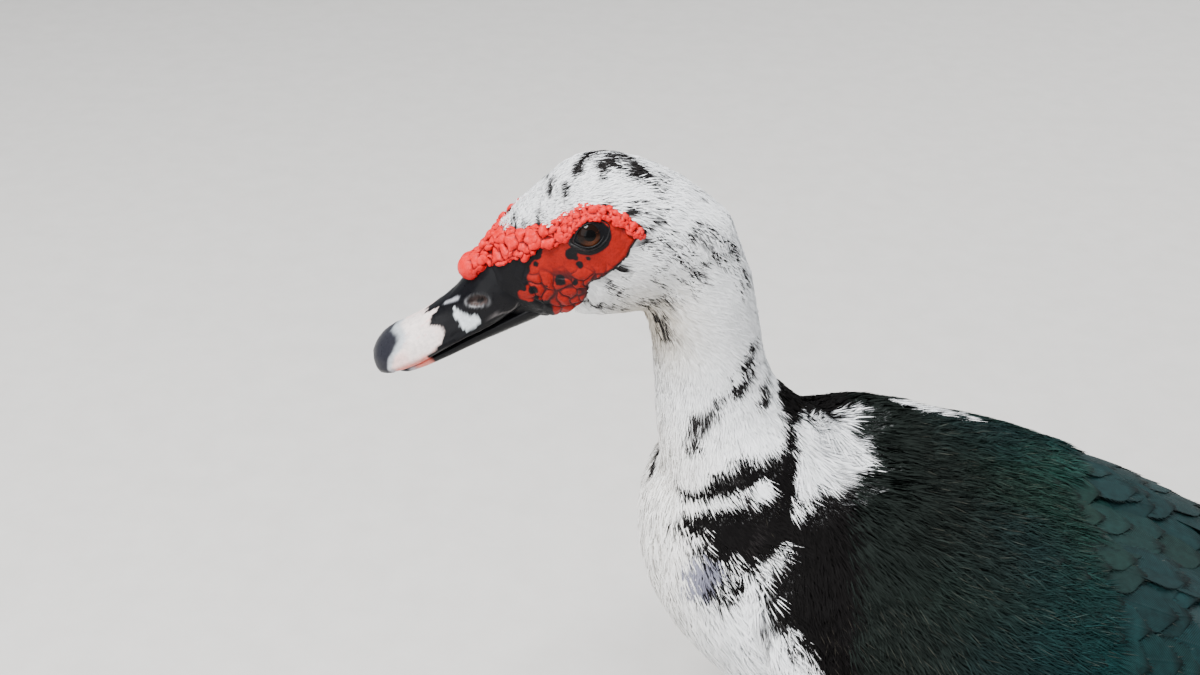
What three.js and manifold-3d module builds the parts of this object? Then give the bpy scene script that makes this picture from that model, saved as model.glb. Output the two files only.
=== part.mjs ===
// A muscovy drake at life size, standing still on both feet with its head turned a little to its left.
// Millimetres, +Z up. The bird faces -X, its left side is towards -Y, and it stands on the plane z = 0.
// X is counted from the eyes while the shapes are made: the bill is at negative X, the tail at positive X.
// At the end the whole bird is shifted so that the origin lies under the middle of its bounding box.
import * as THREE from "three";
import { mergeVertices } from "three/addons/utils/BufferGeometryUtils.js";
import Module from "manifold-3d";

const wasm = await Module();
wasm.setup();

// Driving dimensions
const EYE_HEIGHT = 317;
const HEAD_PITCH_DEG = 25;
const HEAD_YAW_DEG = 10;
const HEAD_PIVOT_BACK = 40;
const GAP = 0.3;
const EYEBALL_RADIUS = 8;
const EYE_SIDE = 15;
const EYE_RISE = 2.4;
const EYE_FORWARD = -0.2;
const TOP_OF_WING_FROM_MIDLINE = 20;
const WING_THICKNESS = 9;
const FOOT_APART = 50;
const ANKLE_BACK = 226;
const HOCK_BACK = 250;
const HOCK_HEIGHT = 57;
const TOE_RADIUS = 4.4;
const TOE_DIP = 0.8;
const TOE_RADII = [5.4, 4.9, 4.5, 3.6];
const ANKLE_RISE = 0.4;
const WEB_THICKNESS = 2;
const WEB_LIFT = 1;
const WEB_SHORT_OF_CLAWS = 7;
const WEB_BEHIND_ANKLE = 2;
const WEB_SCALLOP = 0.2;
const CLAW_LENGTH = 11;
const CLAW_RISE = 0.2;
const CLAW_BOW = 1.4;
const CLAW_RADII = [2.6, 2.4, 1.7, 0.9, 0.4];
const PAD = { size: new THREE.Vector3(10, 8, 7.5), height: 6 };
const EYE_DETAIL = 2;
const SOCKET_RADIUS = 9.3;

// Toes as length and degrees turned out from straight ahead
const TOES = { inner: [54, -25], middle: [70, 2], outer: [64, 28] };
const HALLUX = { length: 16, turn: 150, height: 10, drop: 5, radii: [3.6, 3.4, 2.6, 1.4] };

// Cuts that part the flesh and the wings, as distances behind and below the eyes
const NECK_TOP_CUT = { back: 36, below: 32, facing: new THREE.Vector3(-0.63, 0, 0.78) };
const NECK_BASE_CUT = { back: 55, below: 98, facing: new THREE.Vector3(0.32, 0, 1) };
const BREAST_CUT = 112;
const RUMP_CUT = 300;
const PRIMARY_CUT = 392;

// Limits of the shapes themselves
const LEAST_RADIUS = 0.5;
const MERGE_WITHIN = 0.001;
const CUTTER_SIZE = 2000;
const WING_BLANK_DEPTH = 120;
const WING_OUTLINE_POINTS = 32;

// Stations of each lofted shape: [along, top, bottom, half width].
// Trunk heights are above the ground. The first and last rows close the shape to a point.
const TRUNK = [
  [21, 181, 179, 1],
  [25, 201, 157, 25],
  [38, 216, 135, 45],
  [61, 219, 116, 63],
  [94, 214.5, 99, 78],
  [135, 209.5, 86, 86],
  [185, 198, 79, 89],
  [235, 179, 76, 85],
  [285, 154.5, 78, 74],
  [335, 135, 83, 60],
  [380, 123, 90, 45],
  [415, 116, 96, 30],
  [436, 109, 103, 1],
];

// The folded wings lie between this envelope and a core that is one wing's thickness smaller.
const WING_ENVELOPE = [
  [50, 203, 132, 60],
  [94, 218.5, 104, 89],
  [135, 215, 90, 97],
  [185, 204.5, 83, 100],
  [235, 185.5, 80, 95],
  [285, 161, 82, 83],
  [335, 142.5, 87, 69],
  [380, 133, 93, 56],
  [430, 127.5, 98, 44],
  [480, 123.5, 101, 34],
  [512, 120.5, 103, 27],
];

// Room for the trunk inside the wings, and for the tail between their tips
const WING_CORE = [
  [16, 185, 172, 4],
  [25, 202, 155, 27],
  [38, 218, 133, 47],
  [61, 220.5, 114, 65],
  [94, 215.7, 97, 80],
  [135, 210.7, 84, 88],
  [185, 199.4, 77, 91],
  [235, 180.6, 74, 87],
  [285, 156.3, 76, 76],
  [335, 137, 81, 62],
  [380, 126.4, 87, 48],
  [430, 121, 90, 38],
  [480, 118.4, 92, 29],
  [540, 114, 92, 24],
];

// Side outline of the folded wing, as [behind the eyes, height], read clockwise from the bend of the wing
const WING_OUTLINE = [
  [68, 185],
  [82, 211],
  [135, 232],
  [235, 204],
  [335, 162],
  [430, 134],
  [502, 120.5],
  [470, 109.5],
  [390, 101],
  [300, 100],
  [215, 109],
  [130, 127],
  [84, 153],
];

const TAIL = [
  [392, 121, 99, 28],
  [420, 119, 99, 40],
  [470, 115, 100.5, 51],
  [520, 111, 101.5, 57],
  [560, 108, 101, 55],
  [583, 106, 101, 42],
  [591, 104, 102, 4],
];

// The head and bill are lofted in the head's own frame: the eyes are at 0, -X is the way the bill points,
// and the edge of the bill is level. Heights are above and below the eyes.
const HEAD = [
  [49, -22, -27, 1],
  [45.5, -17, -32, 12.5],
  [37, -0.8, -40, 19.8],
  [22, 16.6, -43, 23.2],
  [7, 24, -43, 23.6],
  [-6, 21.3, -39.5, 21],
  [-17, 18.5, -34.5, 17.6],
  [-28, 13.8, -29, 15],
  [-38, 7.5, -24.5, 12.7],
  [-43, -4, -14, 2],
];
const UPPER_BILL = [
  [-33, 4, -15, 8],
  [-37, 6.5, -18, 13.4],
  [-46.5, 2.5, -19.2, 12.8],
  [-58.5, -3.5, -20.2, 11.9],
  [-72, -6, -21, 12.2],
  [-83.5, -7, -21.2, 13],
  [-92, -9, -20.2, 11.6],
  [-97, -12, -18.8, 7.5],
  [-99, -15, -17, 1],
];
const LOWER_BILL = [
  [-27, -22.4, -25, 6],
  [-34, -18.5, -25.6, 11.4],
  [-54, -18.8, -25.4, 10.4],
  [-76, -19.6, -25, 10.4],
  [-88, -20, -24, 9],
  [-94, -20.4, -22.4, 1.5],
];
const NAIL_CENTRE = new THREE.Vector3(-96.5, 0, -14.5);
const NAIL_SIZE = new THREE.Vector3(10.5, 7.4, 8);
const NOSTRIL_CENTRE = new THREE.Vector3(-52.5, 8.6, -6.6);
const NOSTRIL_SIZE = new THREE.Vector3(3.8, 3.2, 2.2);

// Neck stations along its bend: [behind the eyes, below the eyes, half depth, half width]
const NECK = [
  [88, 156, 2, 2],
  [84, 140, 41, 52],
  [68, 116, 39, 46],
  [55, 91, 28.5, 31],
  [49, 68, 22.6, 22.8],
  [45.5, 46, 21.3, 21],
  [41, 26, 21.6, 21.5],
  [33, 7, 20, 20.5],
  [24, -6, 13, 13],
  [19, -12, 1, 1],
];

// Caruncles: fleshy beads from the knob over the bill base, along the brow and behind the eye,
// as [along, height, radius] in the head's frame. Each is set on the surface at that place.
const CARUNCLE_ROW = [
  [-42, 3.5, 4.2],
  [-36, 5, 4.3],
  [-30, 5.8, 4.3],
  [-24, 6.6, 4.2],
  [-18, 7.6, 4.1],
  [-12, 8.6, 4],
  [-6, 9.8, 4],
  [0, 10.8, 4],
  [6, 9.8, 4],
  [11.5, 6.6, 3.8],
  [16, 2, 3.6],
  [19, -3, 3.2],
];
const CARUNCLE_SINK = 0.25;
const CARUNCLE_WAIST = 0.78;
const CARUNCLE_SIDES = 6;
const CARUNCLE_LEAST_OUT = 6.6;

// The two lobes of the knob as [along, out to either side, height, radius] in the head's frame
const KNOB = [[-46.2, 2.7, 3.6, 6]];

// Stations of the legs: [behind the eyes, height, half depth, half width]
const THIGH = [
  [220, 118, 2, 2],
  [222, 108, 38, 27],
  [230, 88, 31, 23],
  [242, 71, 18, 15],
  [HOCK_BACK, HOCK_HEIGHT + 3, 9.6, 8.6],
  [HOCK_BACK + 1, HOCK_HEIGHT - 1, 5, 5],
];
const SHANK = [
  [HOCK_BACK + 2, HOCK_HEIGHT + 7, 2, 2],
  [HOCK_BACK + 1, HOCK_HEIGHT, 8.2, 6.6],
  [HOCK_BACK - 7, HOCK_HEIGHT - 14, 6.4, 5.4],
  [ANKLE_BACK + 8, 24, 6, 5.2],
  [ANKLE_BACK + 1, 11, 7, 6.4],
  [ANKLE_BACK - 2, 7, 2, 2],
];

// How each loft is meshed, and how boxy and how full below it is
const headShape = { steps: 14, around: 22, squareness: 2.1, widest: 0.46 };
const trunkShape = { steps: 18, around: 24, squareness: 2.05, widest: 0.48 };
const envelopeShape = { ...trunkShape, steps: 14 };
const upperBillShape = { steps: 11, around: 18, squareness: 2.5, widest: 0.22 };
const lowerBillShape = { steps: 5, around: 12, squareness: 2.4, widest: 0.7 };
const tailShape = { steps: 6, around: 12, squareness: 2.3, widest: 0.4 };
const neckShape = { steps: 11, around: 18 };
const thighShape = { steps: 6, around: 10 };
const shankShape = { steps: 6, around: 8 };

const materials = {
  plumage_white: new THREE.MeshStandardMaterial({ color: 0xe8eaea, roughness: 0.8, metalness: 0 }),
  plumage_dark: new THREE.MeshStandardMaterial({ color: 0x15201d, roughness: 0.5, metalness: 0.1 }),
  bill: new THREE.MeshStandardMaterial({ color: 0x17181c, roughness: 0.4, metalness: 0 }),
  caruncle: new THREE.MeshStandardMaterial({ color: 0xd5372b, roughness: 0.55, metalness: 0 }),
  eye: new THREE.MeshStandardMaterial({ color: 0x2a140c, roughness: 0.1, metalness: 0 }),
  leg: new THREE.MeshStandardMaterial({ color: 0x6f6436, roughness: 0.6, metalness: 0 }),
  claw: new THREE.MeshStandardMaterial({ color: 0x2b2724, roughness: 0.4, metalness: 0 }),
};

// A closed geometry as a solid body
function solid(geometry) {
  const bare = geometry.index ? geometry.toNonIndexed() : geometry.clone();
  bare.deleteAttribute("normal");
  bare.deleteAttribute("uv");
  const merged = mergeVertices(bare, MERGE_WITHIN);
  return new wasm.Manifold(
    new wasm.Mesh({
      numProp: 3,
      vertProperties: merged.attributes.position.array,
      triVerts: new Uint32Array(merged.index.array),
    }),
  );
}

// A solid as a named mesh
function mesh(name, shape, material) {
  const raw = shape.getMesh();
  const geometry = new THREE.BufferGeometry();
  geometry.setAttribute("position", new THREE.BufferAttribute(new Float32Array(raw.vertProperties), 3));
  geometry.setIndex(new THREE.BufferAttribute(raw.triVerts, 1));
  geometry.computeVertexNormals();
  const made = new THREE.Mesh(geometry, material);
  made.name = name;
  return made;
}

// Rows of numbers, joined by a smooth curve and read at even steps
function smoothRows(rows, steps) {
  const width = rows[0].length;
  const places = rows.map((row, i) => i);
  const curve = new THREE.CubicInterpolant(places, rows.flat(), width);
  const read = [];
  for (let i = 0; i <= steps; i++) {
    read.push(Array.from(curve.evaluate((i * (rows.length - 1)) / steps)));
  }
  return read;
}

// Skin over rings of points: every ring has the same number, and the two ends are closed by a fan
function skinOver(rings) {
  const count = rings[0].length;
  const positions = [];
  const index = [];
  for (const point of rings.flat()) {
    positions.push(point.x, point.y, point.z);
  }
  for (let r = 0; r < rings.length - 1; r++) {
    for (let i = 0; i < count; i++) {
      const a = r * count + i;
      const b = r * count + ((i + 1) % count);
      index.push(a, a + count, b, b, a + count, b + count);
    }
  }
  for (const [r, turned] of [[0, false], [rings.length - 1, true]]) {
    const centre = new THREE.Vector3();
    for (const point of rings[r]) {
      centre.addScaledVector(point, 1 / count);
    }
    const hub = positions.length / 3;
    positions.push(centre.x, centre.y, centre.z);
    for (let i = 0; i < count; i++) {
      const a = r * count + i;
      const b = r * count + ((i + 1) % count);
      index.push(...(turned ? [a, hub, b] : [b, hub, a]));
    }
  }
  const geometry = new THREE.BufferGeometry();
  geometry.setAttribute("position", new THREE.Float32BufferAttribute(positions, 3));
  geometry.setIndex(index);
  const made = solid(geometry);
  return made.volume() < 0 ? solid(flipped(geometry)) : made;
}

// A geometry with every face turned over
function flipped(geometry) {
  const index = Array.from(geometry.index.array);
  for (let i = 0; i < index.length; i += 3) {
    [index[i + 1], index[i + 2]] = [index[i + 2], index[i + 1]];
  }
  const made = geometry.clone();
  made.setIndex(index);
  return made;
}

// A shape lofted along X from stations [along, top, bottom, half width].
// squareness 2 is an ellipse, and more is boxier. grow is added outwards everywhere.
function loftAlongX(rows, { steps, around, squareness = 2.2, widest = 0.5, grow = 0, ends = 0 }) {
  const rings = smoothRows(rows, steps).map(([x, top, bottom, half], r, all) => {
    const atEnd = r === 0 ? -1 : r === all.length - 1 ? 1 : 0;
    const away = Math.sign(all[all.length - 1][0] - all[0][0]) * atEnd * (grow + ends);
    const middle = bottom + (top - bottom) * widest;
    const ring = [];
    for (let i = 0; i < around; i++) {
      const angle = (2 * Math.PI * i) / around;
      const c = Math.cos(angle);
      const s = Math.sin(angle);
      const across = Math.sign(c) * Math.abs(c) ** (2 / squareness);
      const up = Math.sign(s) * Math.abs(s) ** (2 / squareness);
      const wide = Math.max(half, LEAST_RADIUS) + grow;
      const tall = Math.max((s > 0 ? top - middle : middle - bottom) + grow, LEAST_RADIUS);
      ring.push(new THREE.Vector3(x + away, across * wide, middle + up * tall));
    }
    return ring;
  });
  return skinOver(rings);
}

// A round limb lofted along a bent line in one upright plane.
// Stations are [x, z, half depth, half width], and side is the limb's place across the body.
function loftAlongBend(rows, { steps, around, side = 0, grow = 0 }) {
  const read = smoothRows(rows, steps);
  const rings = read.map(([x, z, depth, half], i) => {
    const before = read[Math.max(i - 1, 0)];
    const after = read[Math.min(i + 1, read.length - 1)];
    const along = new THREE.Vector3(after[0] - before[0], 0, after[1] - before[1]).normalize();
    const across = new THREE.Vector3(along.z, 0, -along.x);
    const ring = [];
    for (let k = 0; k < around; k++) {
      const angle = (2 * Math.PI * k) / around;
      const deep = (Math.max(depth, LEAST_RADIUS) + grow) * Math.cos(angle);
      const wide = (Math.max(half, LEAST_RADIUS) + grow) * Math.sin(angle);
      ring.push(new THREE.Vector3(x, side + wide, z).addScaledVector(across, deep));
    }
    return ring;
  });
  return skinOver(rings);
}

// A ball with three half sizes of its own
function ellipsoid(centre, size, detail) {
  const geometry = new THREE.IcosahedronGeometry(1, detail);
  geometry.scale(size.x, size.y, size.z);
  geometry.translate(centre.x, centre.y, centre.z);
  return solid(geometry);
}

function ball(centre, radius, detail) {
  return ellipsoid(centre, new THREE.Vector3(radius, radius, radius), detail);
}

function joined(solids) {
  return solids.reduce((all, one) => all.add(one));
}

// A solid placed by a matrix
function moved(shape, matrix) {
  const raw = shape.getMesh();
  const geometry = new THREE.BufferGeometry();
  geometry.setAttribute("position", new THREE.BufferAttribute(new Float32Array(raw.vertProperties), 3));
  geometry.setIndex(new THREE.BufferAttribute(raw.triVerts, 1));
  geometry.applyMatrix4(matrix);
  return solid(geometry);
}

// Everything on the far side of a plane from the way it faces, as one big block
function behindPlane(point, facing) {
  const geometry = new THREE.BoxGeometry(CUTTER_SIZE, CUTTER_SIZE, CUTTER_SIZE);
  geometry.translate(0, 0, -CUTTER_SIZE / 2);
  const outwards = facing.clone().normalize();
  const turn = new THREE.Quaternion().setFromUnitVectors(new THREE.Vector3(0, 0, 1), outwards);
  geometry.applyQuaternion(turn);
  geometry.translate(point.x, point.y, point.z);
  return solid(geometry);
}

// The part of a shape behind every one of some cuts, each of which takes half the gap
function between(shape, cuts) {
  return cuts.reduce((left, { point, facing }) => {
    const inwards = point.clone().addScaledVector(facing.clone().normalize(), -GAP / 2);
    return left.intersect(behindPlane(inwards, facing));
  }, shape);
}

// The same cut, keeping the other side
function opposite({ point, facing }) {
  return { point, facing: facing.clone().negate() };
}

const degrees = THREE.MathUtils.degToRad;
const headPivot = new THREE.Vector3(HEAD_PIVOT_BACK, 0, EYE_HEIGHT);
const headFrame = new THREE.Matrix4()
  .makeTranslation(headPivot.x, 0, 0)
  .multiply(new THREE.Matrix4().makeRotationZ(degrees(HEAD_YAW_DEG)))
  .multiply(new THREE.Matrix4().makeTranslation(-headPivot.x, 0, EYE_HEIGHT))
  .multiply(new THREE.Matrix4().makeRotationY(-degrees(HEAD_PITCH_DEG)));

// Flesh: head, neck, trunk as one body, then parted by thin cuts
const neckRows = NECK.map(([back, below, depth, half]) => [back, EYE_HEIGHT - below, depth, half]);
const headSolid = loftAlongX(HEAD, headShape);
const trunk = loftAlongX(TRUNK, trunkShape);
const neck = loftAlongBend(neckRows, neckShape);

function eyeCentre(side) {
  return new THREE.Vector3(-EYE_FORWARD, side * EYE_SIDE, EYE_RISE);
}

function eyeRoom(side) {
  return ball(eyeCentre(side), EYEBALL_RADIUS + GAP, 1);
}

const upperBillRoom = loftAlongX(UPPER_BILL, { ...upperBillShape, grow: GAP });
const lowerBillRoom = loftAlongX(LOWER_BILL, { ...lowerBillShape, grow: GAP });
let head = headSolid.subtract(upperBillRoom.add(lowerBillRoom));
for (const side of [-1, 1]) {
  head = head.subtract(ball(eyeCentre(side), SOCKET_RADIUS, 1));
}
const flesh = moved(head, headFrame).add(neck).add(trunk);

function slantingCut({ back, below, facing }) {
  return { point: new THREE.Vector3(back, 0, EYE_HEIGHT - below), facing };
}

function uprightCut(back) {
  return { point: new THREE.Vector3(back, 0, 0), facing: new THREE.Vector3(1, 0, 0) };
}

const neckTop = slantingCut(NECK_TOP_CUT);
const neckBase = slantingCut(NECK_BASE_CUT);
const breastBack = uprightCut(BREAST_CUT);
const rumpFront = uprightCut(RUMP_CUT);

// The mantle behind the neck's base belongs to the trunk, so the neck ends at the breast's back
const aboveNeckBase = between(flesh, [opposite(neckBase), breastBack]);
const headAndFace = between(flesh, [opposite(neckTop)]);
const neckOnly = between(aboveNeckBase, [neckTop]);
const breast = between(flesh, [neckBase, breastBack]);
const back = between(flesh, [opposite(breastBack), rumpFront]);
const rump = between(flesh, [opposite(rumpFront)]);

// Bill
const nailBlank = ellipsoid(NAIL_CENTRE, NAIL_SIZE, 1);
const nailRoom = ellipsoid(NAIL_CENTRE, NAIL_SIZE.clone().addScalar(GAP), 1);
const upperBillWhole = loftAlongX(UPPER_BILL, upperBillShape).subtract(lowerBillRoom);
let upperBill = upperBillWhole.subtract(nailRoom);
for (const side of [-1, 1]) {
  const centre = NOSTRIL_CENTRE.clone().multiply(new THREE.Vector3(1, side, 1));
  upperBill = upperBill.subtract(ellipsoid(centre, NOSTRIL_SIZE, 1));
}
const nail = upperBillWhole.intersect(nailBlank);
const lowerBill = loftAlongX(LOWER_BILL, lowerBillShape);

// Caruncles stand on the head and the bill with a hair's gap
const headRoom = loftAlongX(HEAD, { ...headShape, grow: GAP }).add(upperBillRoom);

// How far the head or the bill reaches from the midline at a place in the head's frame
function outAt(x, z) {
  const reach = ([rows, { squareness, widest }]) => {
    const after = rows.findIndex((row) => row[0] <= x);
    if (after < 1) return 0;
    const [low, high] = [rows[after - 1], rows[after]];
    const share = (x - low[0]) / (high[0] - low[0]);
    const [top, bottom, half] = [1, 2, 3].map((i) => THREE.MathUtils.lerp(low[i], high[i], share));
    const middle = bottom + (top - bottom) * widest;
    const up = Math.abs(z - middle) / (z > middle ? top - middle : middle - bottom);
    return up < 1 ? half * (1 - up ** squareness) ** (1 / squareness) : 0;
  };
  return Math.max(CARUNCLE_LEAST_OUT, ...[[HEAD, headShape], [UPPER_BILL, upperBillShape]].map(reach));
}

// A lumpy cord through the beads, thinner between them
function caruncleRow(side) {
  const rings = [];
  const beads = CARUNCLE_ROW.map(([x, z, radius]) => {
    return [x, side * (outAt(x, z) - CARUNCLE_SINK * radius), z, radius];
  });
  smoothRows(beads, 2 * (beads.length - 1)).forEach(([x, y, z, radius], i, all) => {
    const after = all[Math.min(i + 1, all.length - 1)];
    const before = all[Math.max(i - 1, 0)];
    const [from, to] = [before, after].map((bead) => new THREE.Vector3(bead[0], bead[1], bead[2]));
    const along = to.sub(from).normalize();
    const first = new THREE.Vector3(0, side, 0).cross(along).normalize();
    const second = along.clone().cross(first);
    const plump = i % 2 === 0 ? radius : CARUNCLE_WAIST * radius;
    const ring = Array.from({ length: CARUNCLE_SIDES }, (unused, k) => {
      const angle = (2 * Math.PI * k) / CARUNCLE_SIDES;
      return new THREE.Vector3(x, y, z)
        .addScaledVector(first, plump * Math.cos(angle))
        .addScaledVector(second, plump * Math.sin(angle));
    });
    rings.push(ring);
  });
  return skinOver(rings).subtract(headRoom).subtract(knobRoom).subtract(eyeRoom(side));
}

// The knob's lobes, with room round them
function knobBeads(grow) {
  const beads = [];
  for (const [x, out, z, radius] of KNOB) {
    for (const side of [-1, 1]) {
      beads.push(ball(new THREE.Vector3(x, side * out, z), radius + grow, 1));
    }
  }
  return joined(beads);
}
const knobRoom = knobBeads(GAP);
const knob = knobBeads(0).subtract(headRoom);

// The biggest piece of a shape, without the slivers that a cut can leave
function mainPiece(shape) {
  return shape.decompose().reduce((best, one) => (one.volume() > best.volume() ? one : best));
}

// Wings: the shell between envelope and core, inside the wing's side outline
const outlineShape = new THREE.Shape(
  new THREE.SplineCurve(
    [...WING_OUTLINE, WING_OUTLINE[0]].map(([x, z]) => new THREE.Vector2(x, z)),
  ).getPoints(WING_OUTLINE_POINTS).slice(0, -1),
);
const envelope = loftAlongX(WING_ENVELOPE, { ...envelopeShape, ends: WING_THICKNESS });
const core = loftAlongX(WING_CORE, trunkShape);
const tailRoom = loftAlongX(TAIL, { ...tailShape, grow: GAP });
const neckRoom = loftAlongBend(neckRows, { ...neckShape, grow: GAP });
const foldedTips = uprightCut(PRIMARY_CUT);

function wingWhole(side) {
  const blank = new THREE.ExtrudeGeometry(outlineShape, { depth: WING_BLANK_DEPTH, bevelEnabled: false });
  const nearFace = side < 0 ? -TOP_OF_WING_FROM_MIDLINE : TOP_OF_WING_FROM_MIDLINE + WING_BLANK_DEPTH;
  blank.rotateX(Math.PI / 2);
  blank.translate(0, nearFace, 0);
  return envelope.intersect(solid(blank)).subtract(core).subtract(neckRoom).subtract(tailRoom);
}

// Tail, behind the trunk's end
const trunkRoom = loftAlongX(TRUNK, { ...trunkShape, grow: GAP });
const tail = loftAlongX(TAIL, tailShape).subtract(trunkRoom);

// Where a toe ends
function toeTip(side, [length, turn]) {
  const angle = degrees(turn);
  return new THREE.Vector3(
    ANKLE_BACK - length * Math.cos(angle),
    side * (FOOT_APART + length * Math.sin(angle)),
    TOE_RADIUS - TOE_DIP,
  );
}

// A round toe or claw from one point to another, along which the radii are spread evenly.
// It dips by bow at its far end.
function rod(from, to, radii, { bow = 0, around = 6 } = {}) {
  const span = to.clone().sub(from);
  const along = span.clone().setZ(0).normalize();
  const across = new THREE.Vector3(-along.y, along.x, 0);
  const up = new THREE.Vector3(0, 0, 1);
  const rings = radii.map((radius, i) => {
    const share = i / (radii.length - 1);
    const middle = from.clone().addScaledVector(span, share).addScaledVector(up, -bow * share ** 2);
    return Array.from({ length: around }, (unused, k) => {
      const angle = (2 * Math.PI * k) / around;
      return middle.clone()
        .addScaledVector(across, radius * Math.cos(angle))
        .addScaledVector(up, radius * Math.sin(angle));
    });
  });
  return skinOver(rings);
}

const aboveGround = behindPlane(new THREE.Vector3(0, 0, 0), new THREE.Vector3(0, 0, -1));

// The web between the three toes, scalloped at its front
function web(side) {
  const heel = new THREE.Vector2(ANKLE_BACK + WEB_BEHIND_ANKLE, side * FOOT_APART);
  const tips = Object.values(TOES).map(([length, turn]) => {
    const tip = toeTip(side, [length - WEB_SHORT_OF_CLAWS, turn]);
    return new THREE.Vector2(tip.x, tip.y);
  });
  const shape = new THREE.Shape();
  shape.moveTo(heel.x, heel.y);
  shape.lineTo(tips[0].x, tips[0].y);
  for (const [from, to] of [[tips[0], tips[1]], [tips[1], tips[2]]]) {
    const middle = from.clone().add(to).multiplyScalar(0.5).lerp(heel, WEB_SCALLOP);
    shape.quadraticCurveTo(middle.x, middle.y, to.x, to.y);
  }
  shape.closePath();
  const extrusion = { depth: WEB_THICKNESS, bevelEnabled: false, curveSegments: 5 };
  const geometry = new THREE.ExtrudeGeometry(shape, extrusion);
  geometry.translate(0, 0, WEB_LIFT);
  return solid(geometry);
}

function foot(side) {
  const ankle = new THREE.Vector3(ANKLE_BACK, side * FOOT_APART, TOE_RADIUS + ANKLE_RISE);
  const toes = Object.values(TOES).map((toe) => rod(ankle, toeTip(side, toe), TOE_RADII));
  const turn = degrees(HALLUX.turn);
  const back = new THREE.Vector3(
    ANKLE_BACK - HALLUX.length * Math.cos(turn),
    side * (FOOT_APART - HALLUX.length * Math.sin(turn)),
    HALLUX.height - HALLUX.drop,
  );
  const pad = ellipsoid(ankle.clone().setZ(PAD.height), PAD.size, 1);
  const hallux = rod(ankle.clone().setZ(HALLUX.height), back, HALLUX.radii);
  return joined([pad, ...toes, web(side), hallux]).intersect(aboveGround).subtract(shankRoom(side));
}

function shankRoom(side) {
  return loftAlongBend(SHANK, { ...shankShape, side: side * FOOT_APART, grow: GAP });
}

// A claw: a short horn that starts just clear of its toe's end and bends to the ground
function claw(side, toe) {
  const tip = toeTip(side, toe);
  const outwards = tip.clone().sub(new THREE.Vector3(ANKLE_BACK, side * FOOT_APART, tip.z)).normalize();
  const root = tip.clone().addScaledVector(outwards, GAP).add(new THREE.Vector3(0, 0, CLAW_RISE));
  return rod(root, root.clone().addScaledVector(outwards, CLAW_LENGTH), CLAW_RADII, { bow: CLAW_BOW });
}

// Put the bird together
const bird = new THREE.Group();
const headGroup = new THREE.Group();
headGroup.applyMatrix4(headFrame);
bird.add(headGroup);

bird.add(mesh("head", mainPiece(headAndFace), materials.plumage_white));
bird.add(mesh("neck", mainPiece(neckOnly), materials.plumage_white));
bird.add(mesh("breast", mainPiece(breast), materials.plumage_white));
bird.add(mesh("back_and_belly", mainPiece(back), materials.plumage_dark));
bird.add(mesh("rump", mainPiece(rump), materials.plumage_dark));
bird.add(mesh("tail", mainPiece(tail), materials.plumage_dark));

headGroup.add(mesh("bill_upper", mainPiece(upperBill), materials.bill));
headGroup.add(mesh("bill_lower", lowerBill, materials.bill));
headGroup.add(mesh("bill_nail", mainPiece(nail), materials.bill));
headGroup.add(mesh("caruncle_knob", mainPiece(knob), materials.caruncle));

for (const [side, word] of [[-1, "left"], [1, "right"]]) {
  headGroup.add(mesh(`eye_${word}`, ball(eyeCentre(side), EYEBALL_RADIUS, EYE_DETAIL), materials.eye));
  headGroup.add(mesh(`caruncle_${word}`, mainPiece(caruncleRow(side)), materials.caruncle));

  const wing = wingWhole(side);
  const wingFront = mainPiece(between(wing, [foldedTips]));
  const wingTip = mainPiece(between(wing, [opposite(foldedTips)]));
  bird.add(mesh(`wing_${word}`, wingFront, materials.plumage_dark));
  bird.add(mesh(`primaries_${word}`, wingTip, materials.plumage_dark));

  const place = side * FOOT_APART;
  const thigh = loftAlongBend(THIGH, { ...thighShape, side: place })
    .subtract(trunkRoom)
    .subtract(shankRoom(side));
  bird.add(mesh(`thigh_${word}`, mainPiece(thigh), materials.plumage_white));
  bird.add(mesh(`shank_${word}`, loftAlongBend(SHANK, { ...shankShape, side: place }), materials.leg));
  bird.add(mesh(`foot_${word}`, mainPiece(foot(side)), materials.leg));
  for (const [toe, size] of Object.entries(TOES)) {
    bird.add(mesh(`claw_${toe}_${word}`, claw(side, size), materials.claw));
  }
}

// The origin goes under the middle of the whole bird's box
bird.updateMatrixWorld(true);
const box = new THREE.Box3();
bird.traverse((piece) => {
  if (piece.isMesh) box.expandByObject(piece, true);
});
const centre = box.getCenter(new THREE.Vector3());
bird.position.set(-centre.x, -centre.y, -box.min.z);

export default bird;
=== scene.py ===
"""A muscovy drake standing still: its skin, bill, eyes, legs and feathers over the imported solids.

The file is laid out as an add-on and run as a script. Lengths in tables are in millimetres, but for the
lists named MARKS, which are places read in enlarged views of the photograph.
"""

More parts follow.
